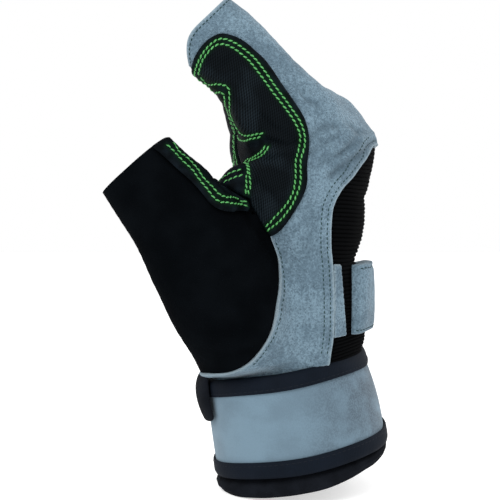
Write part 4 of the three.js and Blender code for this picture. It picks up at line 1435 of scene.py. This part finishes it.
rolled = rolled - 0.1 * np.exp(-(((hem_gap - 2.0) / 0.6) ** 2))
rolled = rolled - 0.05 * np.exp(-(((from_end - 10) / 1.6) ** 2))
band_full = band_wall * (1 + 1.1 * from_foot / (band_top - band_foot))
band_waves = 0.12 * soft_waves(band_rows.reshape(-1, 3), 12, 12).reshape(rolled.shape)
band_lift = 0.35
outer_rise = band_lift + band_full * rolled + band_waves
flat = band_rows.reshape(-1, 3)
foot_rise = np.full((len(flat), 1), band_lift)
band_faces = grid_faces(row_count, column_count)
places, walls = wall_from(flat, band_faces, band_normals.reshape(-1, 3), outer_rise.reshape(-1, 1), foot_rise)
hem_marks = 0.6 * (1 - ramp(hem_gap, 0.1, 0.7)).reshape(-1)
band = show("back_band", places, walls, suede, ["back_band"], 50, {"edge": np.tile(hem_marks, 2)})
band_face = band_rows + band_normals * outer_rise[..., None]
face_normals = grid_normals(band_face)


# Gives each point the normal of the place nearest to it.
def normals_near(places, normals):
    return lambda points: normals[((points[:, None] - places[None]) ** 2).sum(2).argmin(1)]


band_stitch_rows = []
for row in (3, row_count - 4):
    row_path = band_face[row][1:-1]
    band_stitch_rows.append((row_path, normals_near(row_path, face_normals[row][1:-1])))
band_stitches = sew("band_stitches", band_stitch_rows, dark_thread, 1.9, 1.4, 0.26)


# The strip beside the band is the raw end of the suede that the band is sewn down to: a flat four-cornered
# tab on the edge of the back panel.
strip_outline = side_places(dict(fore=[0.388, 0.452, 0.516, 0.4], up=[0.468, 0.467, 0.155, 0.147]))


def suede_tab(name, outline, value, limits, nodes, wall, lift, cell):
    low = np.array([outline[:, 0].min() - 3, -64, outline[:, 1].min() - 3])
    high = np.array([outline[:, 0].max() + 3, 0, outline[:, 1].max() + 3])
    points, quads = surface_of(value, low, high, cell)
    region = region_of(outline, limits)
    points, faces = cut_to(region, points, quads, value, cell)
    normals = normals_of(value, points)
    height = lift + wall * rounded_edge(region(points), 0.7)
    places, walls = wall_from(points, faces, normals, height[:, None], np.full((len(points), 1), lift))
    return show(name, places, walls, suede, nodes, 50, {"edge": edge_marks(points, faces)})


strip = suede_tab(
    "band_strip",
    strip_outline,
    mitten_value,
    lambda p: -p[:, 1],
    ["band_strip"],
    wall=1.3,
    lift=0.1,
    cell=0.8,
)


# The inner cuff is a plain black knit tube that the hand goes in through. Its rim is a rolled hem, wavy and
# swollen where it isn't held by the strap.
cuff_flare = 3.2
cuff_wall = 1.8
hem_wall = 2.6
hem_flare = 3.0
hem_top = strap_lift - 0.3
cuff_cloth, cuff_shader, cuff_place = new_finish("cuff_cloth", Roughness=0.95, Specular_IOR_Level=0.04)
nap = cuff_place.noise(1.8, 4)
patches = cuff_place.noise(0.12, 2).step(0.35, 0.7)
feed(
    cuff_shader,
    Base_Color=(nap * 0.5 + patches * 0.5).clip().mix((0.0035, 0.0042, 0.0058), (0.009, 0.0108, 0.015)),
    Normal=nap.bump(0.6, 0.0004),
)
# The rim's heights as shares of its wave, at even turns from the back of the wrist.
rim_wave = 4
rim_heights = [0.1, 0.1, -0.4, -0.65, -0.3, -0.75, -0.95, -0.35]
rim_line = smooth_line(np.array([[h * rim_wave, 0] for h in rim_heights]), 24, True)[:, 0]


def wrist_out(turn):
    return np.cos(turn)[..., None] * wrist_fore + np.sin(turn)[..., None] * sideways


def wrist_point(height, turn, radius):
    return height[..., None] * wrist_axis + radius[..., None] * wrist_out(turn)


def cuff_radius(height):
    return wrist_radius + cuff_flare * (1 - height / cuff_height)


roll_drop = 1.2
turns = np.linspace(0, 2 * math.pi, len(rim_line), endpoint=False)
hem_share = np.linspace(0, 1, 13)
tube_heights = np.linspace(strap_top - 0.4, hem_top, 14)
swell = np.interp(hem_share, [0, 0.1, 0.3, 0.7, 1], [0, 0.25, 0.75, 1, 0.75])
puckers = 0.5 * np.sin(5 * turns + 1.3) + 0.3 * np.sin(9 * turns + 0.4) + 0.2 * np.sin(17 * turns)
sections = []
for n, turn in enumerate(turns):
    rim = rim_line[n]
    hem_heights = hem_top + (rim + roll_drop - hem_top) * hem_share
    fuller = hem_flare + 0.7 * puckers[n] + 2.7 * max(-math.cos(turn), 0.5 * math.cos(turn)) ** 2
    hem_out = cuff_radius(hem_heights) + fuller * swell
    hem_out = hem_out - 0.35 * np.exp(-(((hem_share - 0.62) / 0.07) ** 2))
    bend = np.linspace(0, math.pi, 9)[1:-1]
    roll_out = hem_out[-1] - hem_wall / 2 + hem_wall / 2 * np.cos(bend)
    roll_heights = hem_heights[-1] - roll_drop * np.sin(bend)
    inner_heights = np.concatenate([hem_heights[::-1], tube_heights[::-1]])
    inner_out = np.concatenate([hem_out[::-1] - hem_wall, cuff_radius(tube_heights[::-1]) - cuff_wall])
    heights = np.concatenate([tube_heights[:-1], hem_heights, roll_heights, inner_heights])
    out = np.concatenate([cuff_radius(tube_heights[:-1]), hem_out, roll_out, inner_out])
    sections.append(wrist_point(heights, np.full(len(heights), turn), out))
sections = np.array(sections)


# Joins sections carried round the wrist: each is a closed ring, and the first meets the last if it goes all
# the way round.
def sweep(sections, all_round):
    count, size = sections.shape[:2]
    numbers = np.arange(count * size).reshape(count, size)
    after = np.roll(numbers, -1, axis=1)
    ahead = np.roll(numbers, -1, axis=0) if all_round else numbers[1:]
    here, here_after = (numbers, after) if all_round else (numbers[:-1], after[:-1])
    ahead_after = np.roll(after, -1, axis=0) if all_round else after[1:]
    faces = np.stack([here, ahead, ahead_after, here_after], -1).reshape(-1, 4).tolist()
    if not all_round:
        faces += [numbers[0].tolist(), numbers[-1][::-1].tolist()]
    return sections.reshape(-1, 3), faces


places, walls = sweep(sections, True)
cuff = show("wrist_cuff", places, walls, cuff_cloth, ["wrist_cuff"], 50)


# The strap is a wide band of brushed suede, wound once round the wrist with its end lapped over its start at
# the far side. It is stiffer than the glove, so it lies smooth, with a slight swell between its bound edges.
strap_start = 58
strap_overlap = 62
strap_turn = 360 + strap_overlap
lap_lift = 5.05
strap_inner = 1.5
strap_outer = 3.9
strap_edge = 1.15
swell_from = 1.6


def strap_share(heights):
    return (heights - strap_lift - strap_edge) / (strap_height - 2 * strap_edge)


def strap_rise(run):
    return lap_lift * ramp(run, 292, 352)


def strap_swell(turn, share):
    back_bulge = 1.3 * np.maximum(np.cos(turn + 0.2), 0) ** 1.5
    return (0.35 + back_bulge) * np.sin(math.pi * np.clip(share, 0, 1))


def strap_wobble(turn):
    return 0.35 * np.sin(2 * turn + 0.6) + 0.2 * np.sin(5 * turn)


def wind(ring_of, steps, trim=0.0):
    sections = []
    for run in np.linspace(trim, strap_turn - trim, steps):
        turn = math.radians(strap_start + run)
        heights, out, share = ring_of(turn)
        heights = heights + strap_wobble(turn)
        swell = strap_swell(turn, share) * (out > swell_from)
        radius = cuff_radius(heights) + out + strap_rise(run) + swell
        sections.append(wrist_point(heights, np.full(len(heights), turn), radius))
    return np.array(sections)


def strap_ring(turn):
    share = np.concatenate([np.linspace(0, 1, 16), np.linspace(1, 0, 6)])
    heights = strap_lift + strap_edge + share * (strap_height - 2 * strap_edge)
    out = np.concatenate([np.full(16, strap_outer), np.full(6, strap_inner)])
    return heights, out, share


def strap_suede_finish():
    finish, shader, place = new_finish(
        "strap_suede", Sheen_Weight=0.12, Roughness=0.9, Specular_IOR_Level=0.12
    )
    clouds = place.noise(0.05, 3, (1, 1, 1.4)).step(0.3, 0.7)
    strokes = place.noise(1.7, 5, (1, 1, 0.8)).step(0.3, 0.7)
    grain = place.noise(2.6, 2)
    flecks = place.cells(1.1).step(0.03, 0.3)
    # Painted shade: towards +X, where the strap curves away from the light, its colour is darkened in broad
    # patches, and pale flecks show more there.
    painted_side_shade = place.part("X").step(-10, 26) * place.noise(0.09, 3).step(0.25, 0.6)
    tone = clouds * 0.55 + strokes * 0.15 + grain * 0.3
    colour = tone.step(0.15, 0.85).mix((0.11, 0.165, 0.21), (0.136, 0.207, 0.262))
    # The darker colour that the painted shade mixes in.
    wear_and_shade_tone = (strokes * 0.6 + grain * 0.4).step(0.3, 0.7).mix((0.05, 0.07, 0.091), (0.09, 0.13, 0.165))
    colour = (painted_side_shade * 0.95).mix(colour, wear_and_shade_tone)
    colour = ((1 - flecks) * strokes * (0.03 + painted_side_shade * 0.3)).clip().mix(colour, (0.17, 0.235, 0.285))
    feed(shader, Base_Color=colour, Normal=(grain * 0.5 + flecks * 0.5).bump(0.4, 0.0003))
    return finish


strap_suede = strap_suede_finish()
places, walls = sweep(wind(strap_ring, 240), False)
strap = show("wrist_strap", places, walls, strap_suede, ["wrist_strap"], 40)


# The strap's edges are bound with folded black tape: a woven ribbon that wraps the edge, with its two legs
# sewn through. It is slightly puffed between its fold and its stitching.
binding_width = 7
tape, tape_shader, tape_place = new_finish("binding_tape", Roughness=0.75, Specular_IOR_Level=0.06)
ribs = (tape_place.noise(0.02, 1.0) * 8 + tape_place.part("Z") * 0.6 + tape_place.part("X") * 9.0).sine()
thread_noise = tape_place.noise(2.2, 3)
tape_tone = (ribs * 0.05 + thread_noise * 0.45 + tape_place.noise(0.1, 2) * 0.5).clip()
feed(
    tape_shader,
    Base_Color=tape_tone.mix((0.0015, 0.0028, 0.005), (0.0068, 0.0108, 0.019)),
    Normal=(ribs * 0.1 + thread_noise * 0.4).bump(0.5, 0.0003),
)
tape_loop = [
    dict(inward=7.0, out=4.3),
    dict(inward=6.9, out=4.75),
    dict(inward=6.3, out=5.02),
    dict(inward=5.0, out=5.1),
    dict(inward=3.4, out=5.25),
    dict(inward=1.8, out=5.2),
    dict(inward=0.7, out=4.8),
    dict(inward=0.15, out=4.0),
    dict(inward=0.0, out=2.7),
    dict(inward=0.3, out=1.2),
    dict(inward=1.0, out=0.5),
    dict(inward=3.0, out=0.38),
    dict(inward=6.9, out=0.4),
    dict(inward=6.9, out=1.15),
    dict(inward=1.4, out=1.2),
    dict(inward=0.95, out=2.7),
    dict(inward=1.4, out=4.2),
]


def tape_ring(top):
    inward = np.array([row["inward"] for row in tape_loop])
    out = np.array([row["out"] for row in tape_loop])

    def ring(turn):
        heights = strap_top - inward if top else strap_lift + inward
        order = slice(None, None, -1) if top else slice(None)
        return heights[order], out[order], strap_share(heights)[order]

    return ring


for name, top in (("strap_binding_top", True), ("strap_binding_bottom", False)):
    places, walls = sweep(wind(tape_ring(top), 240), False)
    binding = show(name, places, walls, tape, [name], 50)

tape_thread, thread_shader, thread_place = new_finish("tape_thread", Roughness=0.8, Specular_IOR_Level=0.1)
feed(thread_shader, Base_Color=thread_place.noise(3.0).mix((0.004, 0.005, 0.008), (0.014, 0.018, 0.026)))
tape_outside = 5.06
from_tape_edge = 1.4
tape_rows = []
for inward in (binding_width - from_tape_edge, strap_height - binding_width + from_tape_edge):
    spots = np.linspace(2, strap_turn - 2, 300)
    turn = np.radians(strap_start + spots)
    heights = strap_top - inward + strap_wobble(turn)
    swell = strap_swell(turn, strap_share(strap_top - inward))
    path = wrist_point(heights, turn, cuff_radius(heights) + tape_outside + strap_rise(spots) + swell)
    tape_rows.append((path, normals_near(path, wrist_out(turn))))
tape_stitches = sew("tape_stitches", tape_rows, tape_thread, 2.4, 1.7, 0.16)


# The lapped end of the strap is held by two rows of dark stitches down it.
degrees_per_radian = 57.3
end_rows = []
for inset in (5, 8.5):
    run = strap_turn - inset / wrist_radius * degrees_per_radian
    turn = math.radians(strap_start + run)
    heights = np.linspace(strap_lift + binding_width + 1, strap_top - binding_width - 1, 30)
    swell = strap_swell(turn, strap_share(heights))
    radius = cuff_radius(heights) + strap_outer + strap_rise(run) + swell
    path = wrist_point(heights, np.full(len(heights), turn), radius)
    facing = math.cos(turn) * wrist_fore + math.sin(turn) * sideways
    end_rows.append((path, lambda p, b=facing: np.tile(b, (len(p), 1))))
strap_stitches = sew("strap_stitches", end_rows, dark_thread, 2.0, 1.4, 0.17)


# The fold is a soft flap of the cuff's black cloth that hangs over the strap's upper edge at the palm. It is
# doubled and lightly filled, fullest near its top.
fold_from, fold_to = 150, 207
fold_columns = 40
fold_table = dict(
    down=[-2.2, -2.9, -1.5, 1.5, 5, 9, 13, 16, 17.3],
    out=[2.6, 4.4, 6.3, 7.8, 8.3, 8.1, 7.3, 6.4, 6.0],
)
fold_down = smooth_line(np.array(list(zip(*fold_table.values()))), 5)
fold_wall = 1.5
fold_lying = 5.9
turns = np.radians(np.linspace(fold_from, fold_to, fold_columns))
side_share = np.linspace(-1, 1, fold_columns)
fullness = np.sqrt(np.clip(1 - np.abs(side_share) ** 5, 0.0, 1))
slope = np.gradient(fold_down, axis=0)
slope /= np.linalg.norm(slope, axis=1)[:, None]
outward = np.stack([-slope[:, 1], slope[:, 0]], 1)
ends = np.sqrt(np.clip(1 - np.abs(np.linspace(-1, 1, len(fold_down))) ** 8, 0.05, 1))[:, None]
sections = []
for turn, full in zip(turns, fullness):
    half = fold_wall / 2 * (0.35 + 0.65 * full) * ends
    eased = fold_down.copy()
    eased[:, 1] = fold_lying + (fold_down[:, 1] - fold_lying) * (0.3 + 0.7 * full)
    eased[:, 0] *= 0.9 + 0.1 * full
    ring = np.concatenate([eased + outward * half, (eased - outward * half)[::-1]])
    heights = strap_top - ring[:, 0] + strap_wobble(turn)
    radius = cuff_radius(np.minimum(heights, cuff_height)) + ring[:, 1]
    sections.append(wrist_point(heights, np.full(len(heights), turn), radius))
places, walls = sweep(np.array(sections), False)
fold = show("palm_fold", places, walls, cuff_cloth, ["palm_fold"], 60)
